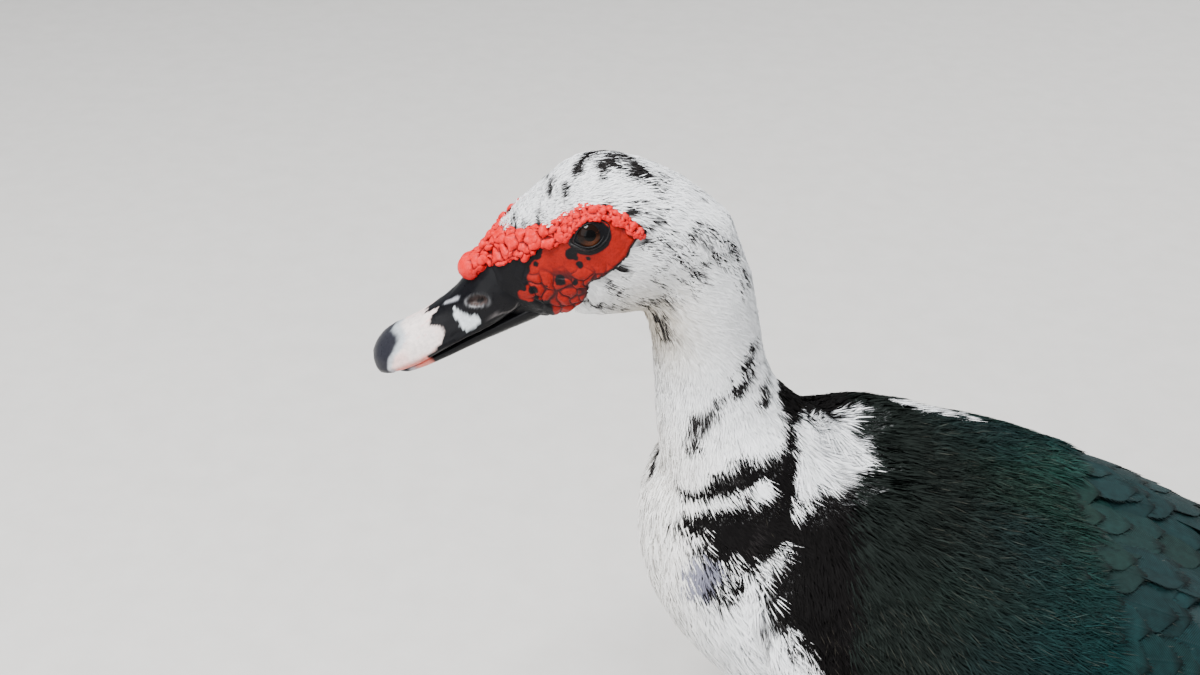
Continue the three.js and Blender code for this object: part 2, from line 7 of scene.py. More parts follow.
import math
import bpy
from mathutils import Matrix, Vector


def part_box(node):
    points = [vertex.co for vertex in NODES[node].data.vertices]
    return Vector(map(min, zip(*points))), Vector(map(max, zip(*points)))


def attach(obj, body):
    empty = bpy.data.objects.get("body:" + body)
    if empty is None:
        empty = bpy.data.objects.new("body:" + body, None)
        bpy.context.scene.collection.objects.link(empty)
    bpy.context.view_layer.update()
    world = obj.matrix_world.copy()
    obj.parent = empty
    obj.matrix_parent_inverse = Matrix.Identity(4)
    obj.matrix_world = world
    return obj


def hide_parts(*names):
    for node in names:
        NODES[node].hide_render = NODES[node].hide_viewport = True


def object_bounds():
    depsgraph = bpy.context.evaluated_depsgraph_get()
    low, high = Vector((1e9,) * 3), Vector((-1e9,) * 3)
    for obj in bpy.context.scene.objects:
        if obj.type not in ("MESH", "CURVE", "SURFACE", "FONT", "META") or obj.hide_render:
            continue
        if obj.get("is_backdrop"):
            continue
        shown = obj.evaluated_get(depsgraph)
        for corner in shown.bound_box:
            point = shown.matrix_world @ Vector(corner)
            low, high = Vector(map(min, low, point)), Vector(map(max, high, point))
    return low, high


bl_info = {
    "name": "Muscovy Drake",
    "version": (1, 0, 0),
    "blender": (4, 5, 0),
    "location": "3D View > Sidebar > Drake",
    "description": "Builds a muscovy drake, feather by feather, over its solid model",
    "category": "Object",
}

import bmesh
import bpy
import numpy as np
from bpy.props import FloatProperty, FloatVectorProperty, IntProperty, PointerProperty
from mathutils import Euler, Vector
from mathutils.bvhtree import BVHTree

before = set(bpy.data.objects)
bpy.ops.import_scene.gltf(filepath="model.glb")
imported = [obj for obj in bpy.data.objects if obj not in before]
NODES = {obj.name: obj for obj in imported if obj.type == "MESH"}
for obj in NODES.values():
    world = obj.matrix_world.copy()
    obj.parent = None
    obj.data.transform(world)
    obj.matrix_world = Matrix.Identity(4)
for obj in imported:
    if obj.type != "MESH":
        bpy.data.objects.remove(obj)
SOLID_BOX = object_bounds()

MM = 0.001
SIDES = ((-1, "left"), (1, "right"))

# Places

HEAD_PITCH = math.radians(25)
EYE_FORWARD, EYE_RISE = -0.2, 2.4
BREAST_FRONT = 21.0


def middle(node):
    low, high = (np.array(corner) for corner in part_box(node))
    return (low + high) / 2


def unit(vector):
    vector = np.asarray(vector, float)
    return vector / np.maximum(np.linalg.norm(vector, axis=-1, keepdims=True), 1e-12)


class HeadFrame:
    """The head's own axes: x back along the bill, y to the right, z up, from the middle of the head."""

    def __init__(self):
        left, right = middle("eye_left"), middle("eye_right")
        up = np.array((0.0, 0.0, 1.0))
        self.y = unit(right - left)
        level = np.cross(self.y, up)
        self.x = math.cos(HEAD_PITCH) * level + math.sin(HEAD_PITCH) * up
        self.z = -math.sin(HEAD_PITCH) * level + math.cos(HEAD_PITCH) * up
        self.origin = (left + right) / 2 + (EYE_FORWARD * self.x - EYE_RISE * self.z) * MM
        self.axes = np.array((self.x, self.y, self.z))

    def world(self, local):
        return self.origin + (np.asarray(local, float) @ self.axes) * MM

    def local(self, points):
        return ((np.asarray(points, float) - self.origin) @ self.axes.T) / MM

    def turned(self, directions):
        return np.asarray(directions, float) @ self.axes


HEAD = HeadFrame()
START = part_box("breast")[0][0] - BREAST_FRONT * MM


def bird(points):
    """World metres as millimetres along the bird, where x is counted back from its eyes."""
    return (np.asarray(points, float) - (START, 0, 0)) / MM


def unbird(places):
    return np.asarray(places, float) * MM + (START, 0, 0)


# Numbers that vary smoothly over a surface


def lattice(i, j, k, seed):
    """A repeatable number from 0 to 1 for each whole-number place."""
    h = (i * 73856093) ^ (j * 19349663) ^ (k * 83492791) ^ (seed * 2654435761)
    h &= 0xFFFFFFFF
    h = ((h ^ (h >> 15)) * 2246822519) & 0xFFFFFFFF
    h = ((h ^ (h >> 13)) * 3266489917) & 0xFFFFFFFF
    return (h ^ (h >> 16)) / 0xFFFFFFFF


def rough(p, size, seed=1):
    """Soft random bumps from -1 to 1, about size across."""
    q = np.asarray(p, float) / size
    base = np.floor(q).astype(np.int64)
    f = q - base
    f = f * f * (3 - 2 * f)
    total = np.zeros(len(q))
    for a in (0, 1):
        for b in (0, 1):
            for c in (0, 1):
                w = (f[:, 0] if a else 1 - f[:, 0]) * (f[:, 1] if b else 1 - f[:, 1])
                w = w * (f[:, 2] if c else 1 - f[:, 2])
                total += w * lattice(base[:, 0] + a, base[:, 1] + b, base[:, 2] + c, seed)
    return total * 2 - 1


def pebbles(p, size, seed=1):
    """Distances to the nearest and second nearest of scattered centres, as shares of size."""
    q = np.asarray(p, float) / size
    base = np.floor(q).astype(np.int64)
    near = np.full(len(q), 9.0)
    second = np.full(len(q), 9.0)
    for a in (-1, 0, 1):
        for b in (-1, 0, 1):
            for c in (-1, 0, 1):
                i, j, k = base[:, 0] + a, base[:, 1] + b, base[:, 2] + c
                shifts = [lattice(i, j, k, seed + more) for more in (0, 7, 13)]
                centre = np.stack((i, j, k), 1) + np.stack(shifts, 1)
                d = np.linalg.norm(q - centre, axis=1)
                second = np.minimum(second, np.maximum(near, d))
                near = np.minimum(near, d)
    return near, second


def step(low, high, value):
    t = np.clip((np.asarray(value, float) - low) / (high - low), 0, 1)
    return t * t * (3 - 2 * t)


def blend(a, b, share):
    share = np.asarray(share, float)
    if share.ndim == 1 and np.ndim(b) >= 1 and np.shape(b)[-1] in (3, 4):
        share = share[:, None]
    return a * (1 - share) + b * share


def capsule(p, start, end, radius):
    """Distance from the skin of a round-ended rod: negative inside."""
    a, b = np.asarray(start, float), np.asarray(end, float)
    along = b - a
    t = np.clip(((p - a) @ along) / max(along @ along, 1e-9), 0, 1)
    return np.linalg.norm(p - a - t[:, None] * along, axis=1) - radius


def outline_distance(p, corners):
    """Distance from a closed outline in a plane: negative inside."""
    corners = np.asarray(corners, float)
    best = np.full(len(p), 1e9)
    inside = np.zeros(len(p), bool)
    for a, b in zip(corners, np.roll(corners, -1, axis=0)):
        along = b - a
        t = np.clip(((p - a) @ along) / (along @ along), 0, 1)
        best = np.minimum(best, np.linalg.norm(p - a - t[:, None] * along, axis=1))
        crosses = (a[1] > p[:, 1]) != (b[1] > p[:, 1])
        reach = a[0] + (p[:, 1] - a[1]) * along[0] / (along[1] if abs(along[1]) > 1e-9 else 1e-9)
        inside ^= crosses & (p[:, 0] < reach)
    return np.where(inside, -best, best)


def smooth_rows(rows, shares):
    """Rows of numbers read along a smooth curve through them, at shares from 0 to 1."""
    rows = np.asarray(rows, float)
    at = np.asarray(shares, float) * (len(rows) - 1)
    i = np.clip(at.astype(int), 0, len(rows) - 2)
    t = (at - i)[:, None]
    before, after = rows[np.maximum(i - 1, 0)], rows[np.minimum(i + 2, len(rows) - 1)]
    a, b = rows[i], rows[i + 1]
    bend = 2 * before - 5 * a + 4 * b - after
    twist = 3 * a - before - 3 * b + after
    return 0.5 * (2 * a + (b - before) * t + bend * t**2 + twist * t**3)


# Colours that a user would change, and the sizes


def colour_choice(name, default, description):
    return FloatVectorProperty(name=name, subtype="COLOR", default=default, description=description)


def length_choice(name, default, description):
    return FloatProperty(name=name, unit="LENGTH", default=default, description=description)


class DrakeColours(bpy.types.PropertyGroup):
    white: colour_choice("White plumage", (0.88, 0.89, 0.90), "Head, neck and breast")
    cream: colour_choice("Throat", (0.80, 0.72, 0.60), "Warm white under the throat")
    black: colour_choice("Dark plumage", (0.0045, 0.004, 0.004), "Back, wings and flecks")
    green: colour_choice("Green gloss", (0.009, 0.036, 0.025), "Sheen of the wing")
    teal: colour_choice("Blue gloss", (0.005, 0.025, 0.027), "Sheen of the wing's edge")
    lavender: colour_choice("Grey patch", (0.20, 0.20, 0.26), "Small patch on the breast's side")
    face: colour_choice("Bare face", (0.27, 0.007, 0.003), "Flat skin of the face")
    caruncle: colour_choice("Caruncles", (0.68, 0.006, 0.009), "Lumps on the brow and bill")
    bill: colour_choice("Bill", (0.003, 0.003, 0.004), "Black horn of the bill")
    bill_pale: colour_choice("Bill band", (0.84, 0.74, 0.70), "Pale band behind the nail")
    bill_pink: colour_choice("Bill edge", (0.78, 0.25, 0.20), "Pink rim of the band")
    leg: colour_choice("Legs", (0.23, 0.17, 0.055), "Scaled skin of legs and feet")


class DrakeSizes(bpy.types.PropertyGroup):
    skin_step: length_choice("Skin step", 0.0024, "Edge length of the skin before refining")
    head_spacing: length_choice("Head tufts", 0.00105, "Space between tufts on the head")
    neck_spacing: length_choice("Neck tufts", 0.00145, "Space between tufts on the neck")
    breast_spacing: length_choice("Breast feathers", 0.0023, "Space between feathers on the breast")
    back_spacing: length_choice("Back feathers", 0.0080, "Space between feathers on the back")
    seed: IntProperty(name="Seed", default=11, description="Number that fixes every random choice")


def colour(name):
    return np.array(getattr(bpy.context.scene.drake_colours, name))


# Meshes


def new_object(name, mesh, material=None):
    thing = bpy.data.objects.new(name, mesh)
    bpy.context.scene.collection.objects.link(thing)
    if material is not None:
        mesh.materials.append(material)
    return thing


def points_of(mesh):
    co = np.zeros(len(mesh.vertices) * 3, np.float32)
    mesh.vertices.foreach_get("co", co)
    return co.reshape(-1, 3).astype(float)


def set_points(mesh, points):
    mesh.vertices.foreach_set("co", np.asarray(points, np.float32).ravel())
    mesh.update()


def normals_of(mesh):
    no = np.zeros(len(mesh.vertices) * 3, np.float32)
    mesh.vertex_normals.foreach_get("vector", no)
    return no.reshape(-1, 3).astype(float)


def give_colour(mesh, name, rgb):
    layer = mesh.attributes.new(name, "FLOAT_COLOR", "POINT")
    rgba = np.ones((len(mesh.vertices), 4), np.float32)
    rgba[:, :3] = rgb
    layer.data.foreach_set("color", rgba.ravel())


def give_value(mesh, name, values):
    layer = mesh.attributes.new(name, "FLOAT", "POINT")
    layer.data.foreach_set("value", np.asarray(values, np.float32))


def smooth_shaded(mesh):
    mesh.polygons.foreach_set("use_smooth", np.ones(len(mesh.polygons), bool))


def copies_joined(nodes):
    """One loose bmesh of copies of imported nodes, each with its doubles merged."""
    bm = bmesh.new()
    for node in nodes:
        part = bmesh.new()
        part.from_mesh(NODES[node].data)
        bmesh.ops.remove_doubles(part, verts=part.verts, dist=1e-5)
        held = bpy.data.meshes.new("held")
        part.to_mesh(held)
        part.free()
        bm.from_mesh(held)
        bpy.data.meshes.remove(held)
    return bm


def ball_into(bm, centre, radius, rings=3):
    made = bmesh.ops.create_icosphere(bm, subdivisions=rings, radius=radius)
    bmesh.ops.translate(bm, verts=made["verts"], vec=Vector(centre))
    return made["verts"]


def one_skin(bm, voxel, rounds):
    """The outer skin of overlapping closed shapes, remeshed at the voxel's size and evened."""
    rough_mesh = bpy.data.meshes.new("rough")
    bm.to_mesh(rough_mesh)
    bm.free()
    holder = new_object("holder", rough_mesh)
    remesh = holder.modifiers.new("remesh", "REMESH")
    remesh.mode = "VOXEL"
    remesh.voxel_size = voxel
    made = bpy.data.meshes.new_from_object(holder.evaluated_get(bpy.context.evaluated_depsgraph_get()))
    bpy.data.objects.remove(holder)
    bpy.data.meshes.remove(rough_mesh)
    out = bmesh.new()
    out.from_mesh(made)
    bpy.data.meshes.remove(made)
    evened(out, out.verts, rounds)
    return out


EVERY_WAY = {"use_axis_x": True, "use_axis_y": True, "use_axis_z": True}


def evened(bm, verts, rounds):
    """Smooths and pushes back by turns, so that the shape keeps its size."""
    for _ in range(rounds):
        for factor in (0.5, -0.53):
            bmesh.ops.smooth_vert(bm, verts=verts, factor=factor, **EVERY_WAY)


def refine(bm, wanted):
    """Halves the edges that lie wholly in a region. wanted takes points and tells which are in it."""
    inside = wanted(np.array([v.co for v in bm.verts]))
    bm.verts.index_update()
    edges = [e for e in bm.edges if inside[e.verts[0].index] and inside[e.verts[1].index]]
    bmesh.ops.subdivide_edges(bm, edges=edges, cuts=1, use_grid_fill=True)
    inside = wanted(np.array([v.co for v in bm.verts]))
    evened(bm, [v for v, chosen in zip(bm.verts, inside) if chosen], 3)


def mesh_of(bm, name):
    bmesh.ops.recalc_face_normals(bm, faces=bm.faces)
    mesh = bpy.data.meshes.new(name)
    bm.to_mesh(mesh)
    bm.free()
    smooth_shaded(mesh)
    return mesh


def formed_grid(across, along, shape):
    """A grid bent into a shape: shape(u, v) takes two arrays from 0 to 1 and gives world points."""
    bm = bmesh.new()
    bmesh.ops.create_grid(bm, x_segments=across, y_segments=along, size=0.5)
    flat = np.array([v.co for v in bm.verts]) + 0.5
    for vert, place in zip(bm.verts, shape(flat[:, 0], flat[:, 1])):
        vert.co = place
    bmesh.ops.remove_doubles(bm, verts=bm.verts, dist=2e-6)
    return bm


def hollows(mesh, rounds):
    """How far each place of a mesh lies below its surroundings, in metres: negative on humps."""
    ends = np.zeros(len(mesh.edges) * 2, np.int32)
    mesh.edges.foreach_get("vertices", ends)
    one, other = ends.reshape(-1, 2).T
    share = 1 / np.maximum(np.bincount(ends, minlength=len(mesh.vertices)), 1)
    start = points_of(mesh)
    around = start
    for _ in range(rounds):
        sums = [
            np.bincount(one, c[other], len(start)) + np.bincount(other, c[one], len(start)) for c in around.T
        ]
        around = np.stack([total * share for total in sums], 1)
    return ((around - start) * normals_of(mesh)).sum(1)


def finish_piece(thing, slot, *nodes):
    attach(thing, "root")
    if nodes:
        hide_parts(*nodes)
    return thing


# The camera, and the views of the photograph that marks were read in: left, top, enlargement

PHOTO_WIDTH, PHOTO_HEIGHT = 1200, 675
SENSOR, LENS = 36.0, 43.455
CAMERA_TILT, CAMERA_TURN = math.radians(60), math.radians(5)
CAMERA_PLACE = HEAD.origin + np.array((47.57, -488.95, 232.45)) * MM
WHOLE_VIEW = (0, 0, 1)
FACE_VIEW = (440, 150, 6.03)
COLLAR_VIEW = (640, 380, 5.315)
BILL_VIEW = (375, 230, 8.476)


class Sight:
    """The camera's lines of sight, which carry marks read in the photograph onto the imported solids."""

    def __init__(self):
        turn = Euler((CAMERA_TILT, 0, CAMERA_TURN)).to_matrix()
        self.right, self.up, self.back = (np.array(turn.col[i]) for i in range(3))
        bm = copies_joined([node for node in NODES if not node.startswith("caruncle")])
        self.tree = BVHTree.FromBMesh(bm)
        bm.free()

    def carried(self, view, marks):
        """World places of marks: where each one's line of sight first meets a solid under the caruncles."""
        left, top, enlargement = view
        focal = PHOTO_WIDTH * LENS / SENSOR
        found = []
        for across, down in marks:
            u = (left + across / enlargement - PHOTO_WIDTH / 2) / focal
            v = (top + down / enlargement - PHOTO_HEIGHT / 2) / focal
            way = self.right * u - self.up * v - self.back
            found.append(self.tree.ray_cast(Vector(CAMERA_PLACE), Vector(way))[0])
        return np.array(found)


SIGHT = Sight()


def on_head(view, marks):
    """Places of marks in the head's frame, to a tenth of a millimetre."""
    return np.round(HEAD.local(SIGHT.carried(view, marks)), 1)


def on_face(marks):
    """Marks read in the view of the face, as (along, height)."""
    return on_head(FACE_VIEW, marks)[:, [0, 2]]


def on_side(marks):
    """Marks read in the view of the collar, in the slanting plane over the bird's side."""
    return np.round(slanted(bird(SIGHT.carried(COLLAR_VIEW, marks))), 1)


def slanted(p):
    return np.stack((p @ SLANT_ALONG, p @ SLANT_UP), 1)


# Markings. Lists named MARKS were read in a view; the others are given in millimetres.

SLANT_ALONG = np.array((0.996, 0.087, 0.0))
SLANT_UP = np.array((-0.044, 0.498, 0.866))
HEAD_ROUND = 20.0
HEAD_AXIS = -8.0

# The red of the face, from its front top corner down, back under the eye and forward over it
RED_MARKS = (
    (635, 560), (612, 590), (618, 640), (590, 660), (560, 680), (540, 700), (548, 730), (520, 780),
    (510, 830), (480, 850), (468, 880), (490, 900), (530, 910), (570, 895), (585, 875), (600, 895),
    (650, 905), (680, 940), (690, 980), (720, 990), (780, 975), (850, 930), (870, 900), (890, 850),
    (885, 820), (900, 800), (960, 780), (1020, 740), (1080, 690), (1130, 640), (1150, 590), (1180, 540),
    (1240, 510), (1245, 480), (1215, 455), (1160, 430), (1100, 405), (1040, 380), (980, 330),
    (920, 320), (860, 340), (800, 370), (740, 400), (690, 440), (650, 480),
)
RED_UNDER_ROW = (
    (-20, 11), (-30, 11.5), (-44, 8), (-46, 4), (-40, 4.5), (-34, 3.5), (-26, 4.4), (-20, 4.4),
)
RED = on_face(RED_MARKS)
RED_OUTLINE = np.vstack((RED, RED_UNDER_ROW))
# The edge of the bare skin follows the red, and lies a little outside it behind and under the eye
FACE_OUTLINE = np.vstack((
    ((-48, 6), (-40, 9), (-34, 11), (-28, 11.6), (-20, 11.2), (-13, 9.8)),
    RED[43:39:-1],
    ((6.6, 12.4), (9.9, 10.6), (11.9, 7.2)),
    RED[36:33:-1] + (0.2, 0.2),
    ((20.3, -3.5),),
    RED[32:20:-1] - (0, 0.2),
    ((-21, -26.8), (-25.5, -28), (-30, -27.5), (-40, -24), (-48, -20)),
))
# Black spots on the face, and their radii
SPOT_MARKS = ((727, 782), (815, 797), (560, 838), (840, 690), (820, 655), (890, 655), (577, 690), (645, 815))
SPOT_RADII = (2.1, 1.0, 1.8, 1.5, 1.1, 1.0, 0.8, 0.5)
LASH_SPOT = (-8.6, -1.0, 2.2)
FACE_SPOTS = (*((x, z, radius) for (x, z), radius in zip(on_face(SPOT_MARKS), SPOT_RADII)), LASH_SPOT)


def flecks_on_head(marks, by_hand):
    """Flecks as pairs of ends in the head's frame, from marks read in the whole photograph and from listed
    ends.
    """
    ends = on_head(WHOLE_VIEW, np.reshape(marks, (-1, 2)))
    return [*ends.reshape(-1, 2, 3), *np.reshape(by_hand, (-1, 2, 3))]


# Each fleck's two ends, one after the other
CREST_MARKS = (
    (580, 171, 607, 152), (604, 172, 627, 157), (627, 157, 649, 174), (624, 169, 653, 181),
    (653, 181, 670, 181),
)
CREST_FLECKS = flecks_on_head(CREST_MARKS, ((18, -6.5, 17.4, 26.5, -6.5, 11), (14, 3, 20, 21, 10, 13.5)))
FLECK_MARKS = (
    (660, 191, 673, 199), (607, 204, 618, 209), (554, 178, 552, 195), (570, 184, 566, 194),
    (541, 213, 539, 226), (516, 216, 511, 234), (503, 226, 499, 236), (633, 206, 652, 210),
    (658, 214, 672, 218), (646, 223, 658, 225), (695, 233, 719, 243), (719, 253, 733, 260),
    (667, 235, 681, 247), (646, 246, 661, 253), (667, 253, 676, 262), (682, 253, 702, 270),
    (614, 270, 629, 276), (611, 288, 627, 298), (658, 275, 669, 282), (690, 279, 704, 290),
    (586, 305, 600, 307), (600, 307, 629, 309), (646, 302, 655, 307), (666, 298, 675, 302),
    (739, 273, 744, 284),
)
HEAD_FLECKS = flecks_on_head(FLECK_MARKS, ((-19.5, -9.5, 13.6, -20.5, -10.6, 12.2),))
# Spots of the neck: one end read in the whole photograph, then how far off the other end lies
NECK_MARKS = ((753, 352), (746, 383), (768, 389), (665, 341), (653, 458))
NECK_REACHES = ((-4, -6, -9), (-2.9, -3.6, -5), (-1.3, -5.2, -5.3), (-1.6, 0.3, 6), (0.1, -0.4, 3))
NECK_BY_HAND = (
    ((53, -24.2, 246), (51, -25.5, 241)),
    ((45.5, -25, 238.5), (43.5, -26.4, 233)),
    ((43.5, -25.8, 229.5), (43, -27.5, 225.5)),
    ((26.2, -8.5, 202), (26.4, -1.5, 199)),
)
NECK_STARTS = np.round(bird(SIGHT.carried(WHOLE_VIEW, NECK_MARKS)), 1)
NECK_SPOTS = (*zip(NECK_STARTS, NECK_STARTS + NECK_REACHES), *NECK_BY_HAND)

# Outlines in the slanting plane: the collar's upper and lower bars, the wing's front and the white between
UPPER_BAR_MARKS = (
    (185, 548), (215, 592), (262, 612), (322, 615), (372, 590), (402, 560), (440, 522), (490, 500),
    (535, 470), (548, 378), (590, 402), (618, 470), (655, 478), (690, 440), (722, 400), (748, 412),
    (775, 430), (795, 340), (800, 250), (770, 200), (742, 50),
)
BEYOND = ((90, 260), (700, 260), (700, -100), (292, 45), (142, 48), (107, 59), (92, 82))
WING_FRONT_MARKS = (
    (932, 1540), (860, 1480), (800, 1400), (782, 1330), (742, 1260), (692, 1180), (665, 1120),
    (740, 1060), (790, 1000),
)
LOWER_BAR_MARKS = (
    (800, 920), (772, 940), (742, 960), (702, 970), (652, 1010), (622, 1040), (582, 1032), (542, 1002),
    (472, 1012), (440, 962), (400, 882), (352, 872), (300, 852), (252, 842), (215, 832), (205, 792),
    (212, 752), (185, 585),
)
DARK_OUTLINE = np.vstack((
    on_side(UPPER_BAR_MARKS), BEYOND, on_side(WING_FRONT_MARKS), on_side(LOWER_BAR_MARKS),
))
STRAND_MARKS = (
    ((352, 882), (402, 902), (442, 972), (470, 1050), (445, 1120), (402, 1190), (385, 1222), (412, 1120),
     (402, 1010), (362, 930)),
    ((545, 1000), (590, 1080), (560, 1150), (500, 1240), (478, 1255), (520, 1150), (545, 1090)),
)
DARK_STRANDS = [on_side(marks) for marks in STRAND_MARKS]
BAND_TOP_MARKS = (
    (222, 642), (282, 672), (332, 690), (390, 690), (432, 670), (482, 660), (522, 650), (562, 620),
    (620, 590), (662, 570),
)
BAND_FOOT_MARKS = (
    (730, 612), (702, 650), (652, 680), (602, 710), (552, 700), (502, 700), (452, 710), (402, 715),
    (350, 730), (300, 758), (262, 740),
)
FAN_MARKS = (
    (845, 240), (900, 225), (1000, 215), (1060, 225), (1108, 190), (1115, 138), (1180, 132),
    (1248, 152), (1240, 200), (1200, 250), (1150, 288), (1100, 305), (1180, 300), (1262, 312),
    (1266, 380), (1262, 440), (1235, 510), (1180, 570), (1120, 590), (1060, 602), (1020, 620),
    (975, 600), (960, 642), (930, 700), (890, 760), (862, 700), (852, 640), (862, 560), (880, 480),
    (862, 400), (850, 330),
)
PATCH_MARKS = ((690, 985), (740, 965), (790, 940), (790, 1010), (770, 1050), (700, 1090))
WHITE_OUTLINES = (
    np.vstack((
        (33, 166.5), on_side(BAND_TOP_MARKS), (72, 167.8), on_side(BAND_FOOT_MARKS), (33, 153.5),
    )),
    on_side(FAN_MARKS),
    np.vstack((on_side(PATCH_MARKS), ((67, 130.6),))),
)
WHITE_STRIP = ((138, 56, 203), (162, 58, 199), 7.0)
GREY_MARKS = (
    (285, 1020), (330, 1010), (380, 1040), (405, 1100), (398, 1170), (370, 1215), (320, 1222),
    (285, 1160), (262, 1090),
)
GREY_OUTLINE = on_side(GREY_MARKS)
SMUDGE_MARK = (330, 945)
SMUDGE_RADIUS = 1.8
SMUDGE = (*on_side((SMUDGE_MARK,))[0], SMUDGE_RADIUS)


def mirrored(p):
    q = p.copy()
    q[:, 1] = -np.abs(q[:, 1])
    return q


def brow_level(local):
    """Places in the head's frame with the right brow, which is set higher, brought level with the left."""
    q = local.copy()
    q[:, 2] -= 3.0 * (local[:, 1] > 0) * step(15, 5, local[:, 0]) * step(0, 6, local[:, 2])
    return q


def bare_face(local):
    """Distance from the edge of the face's bare skin: negative on it."""
    level = brow_level(local)
    d = outline_distance(level[:, [0, 2]], FACE_OUTLINE)
    return np.where(np.abs(local[:, 1]) > 5, d, np.maximum(d, 3))


def around_head(local):
    """Places on the head as (along, round it), so that depth doesn't matter."""
    return np.stack((local[:, 0], HEAD_ROUND * np.arctan2(local[:, 1], local[:, 2] - HEAD_AXIS)), 1)


# How far the right side's flecks lie from a plain mirror image of the left's
RIGHT_SHIFT = np.array((2.2, 0.0, -2.6))


def fleck_shade(local, places):
    """How dark the flecks of the head, the neck and the upper breast make each place, from 0 to 1."""
    dark = np.zeros(len(local))
    ragged = 0.28 * rough(local, 1.6, 5)
    right = local[:, 1] > 0
    side = mirrored(local)
    drift = np.stack([rough(local[right], 14, seed) for seed in (21, 22, 23)], 1)
    side[right] += RIGHT_SHIFT + 1.6 * drift
    for flecks, where, radius in ((CREST_FLECKS, local, 1.9), (HEAD_FLECKS, side, 1.05)):
        flat = around_head(where)
        for fleck in flecks:
            ends = around_head(fleck)
            dark = np.maximum(dark, step(0.45, -0.35, capsule(flat, ends[0], ends[1], radius) + ragged))
    body = mirrored(places)
    front = np.abs(places[:, 1]) < 14
    body[front, 1] = places[front, 1]
    body[right & ~front, 2] += 5
    ragged = 0.8 * rough(places, 3, 6)
    for start, end in NECK_SPOTS:
        dark = np.maximum(dark, step(0.8, -0.6, capsule(body, start, end, 2.5) + ragged))
    return dark


def body_side(places):
    """The slanting plane's coordinates: the right side repeats the left, but for the top of the shoulders."""
    p = mirrored(places)
    top = (places[:, 1] > 0) & (places[:, 2] > 207) & (places[:, 0] > 74)
    p[top, 1] = places[top, 1]
    return slanted(p)


def dark_parts(places):
    """Which of the body's plumage is dark: collar, shoulder patch, back, wings, rump and tail."""
    side = body_side(places)
    wander = 0.9 * rough(places, 5, 3) + 0.6 * rough(places, 2.2, 4)
    dark = outline_distance(side, DARK_OUTLINE) + wander < 0
    for outline in WHITE_OUTLINES:
        dark &= outline_distance(side, outline) + wander > 0
    for outline in DARK_STRANDS:
        dark |= outline_distance(side, outline) + 0.5 * wander < 1.1
    dark &= capsule(places, *WHITE_STRIP) + wander > 0
    return dark | (places[:, 0] > 330) & (places[:, 2] > 92 + 2 * wander)


def plumage(points):
    """Colour and gloss of the plumage at each place."""
    points = np.asarray(points, float)
    places, local = bird(points), HEAD.local(points)
    white, black = colour("white"), colour("black")
    paint = np.tile(white, (len(points), 1))
    # The throat is cream and darker: partly the feathers' own warm tone, partly painted shade under the chin
    throat = np.exp(-(((places[:, 0] - 26) / 16) ** 2) - ((places[:, 2] - 276) / 20) ** 2)
    front = 0.30 * step(255, 215, places[:, 2]) * step(70, 30, places[:, 0])
    low = step(150, 90, places[:, 2]) * 0.35
    paint = blend(paint, colour("cream"), np.clip(throat + low + front, 0, 1))
    # Painted shade under the chin: the throat is darkened by up to a third
    paint *= (1 - 0.32 * throat)[:, None]
    paint *= (1 + 0.04 * rough(places, 9, 31))[:, None]
    gloss = np.zeros(len(points))
    dark = dark_parts(places) & (local[:, 0] > -30)
    side = body_side(places)
    grey = outline_distance(side, GREY_OUTLINE) + 0.8 * rough(places, 3, 9)
    paint = blend(paint, colour("lavender"), step(1.5, -0.5, grey) * (places[:, 0] < 90))
    smudge = np.hypot(side[:, 0] - SMUDGE[0], side[:, 1] - SMUDGE[1]) - SMUDGE[2] + 0.6 * rough(places, 2, 10)
    paint = blend(paint, black * 8, step(0.5, -0.5, smudge) * (places[:, 0] < 90))
    back = dark & (places[:, 0] > 110)
    paint[dark] = black
    sheen, tint = wing_sheen(places)
    glossy = blend(np.tile(black * 1.7 + colour("green") * 0.15, (len(points), 1)), tint, sheen)
    paint[back] = glossy[back]
    gloss[dark] = 0.15
    gloss[back] = (0.15 + 0.85 * sheen)[back]
    fleck = fleck_shade(local, places) * (places[:, 0] < 80)
    paint = blend(paint, black * 3, fleck)
    gloss = np.maximum(gloss, 0.15 * fleck)
    return paint, gloss


def wing_sheen(places):
    """How glossy the dark plumage is and its tint, green nearer the front and blue towards the tips."""
    x, z = places[:, 0], places[:, 2]
    sheen = step(128, 225, x + 0.55 * (200 - z) + 22 * rough(places, 34, 14))
    patches = 0.5 + 0.45 * rough(places, 42, 15)
    blue = step(0.30, 0.75, patches + 0.30 * step(230, 380, x) + 0.22 * step(190, 140, z))
    tint = blend(np.tile(colour("green"), (len(x), 1)), colour("teal"), blue)
    return sheen * (0.75 + 0.25 * rough(places, 12, 16)), tint


# Materials


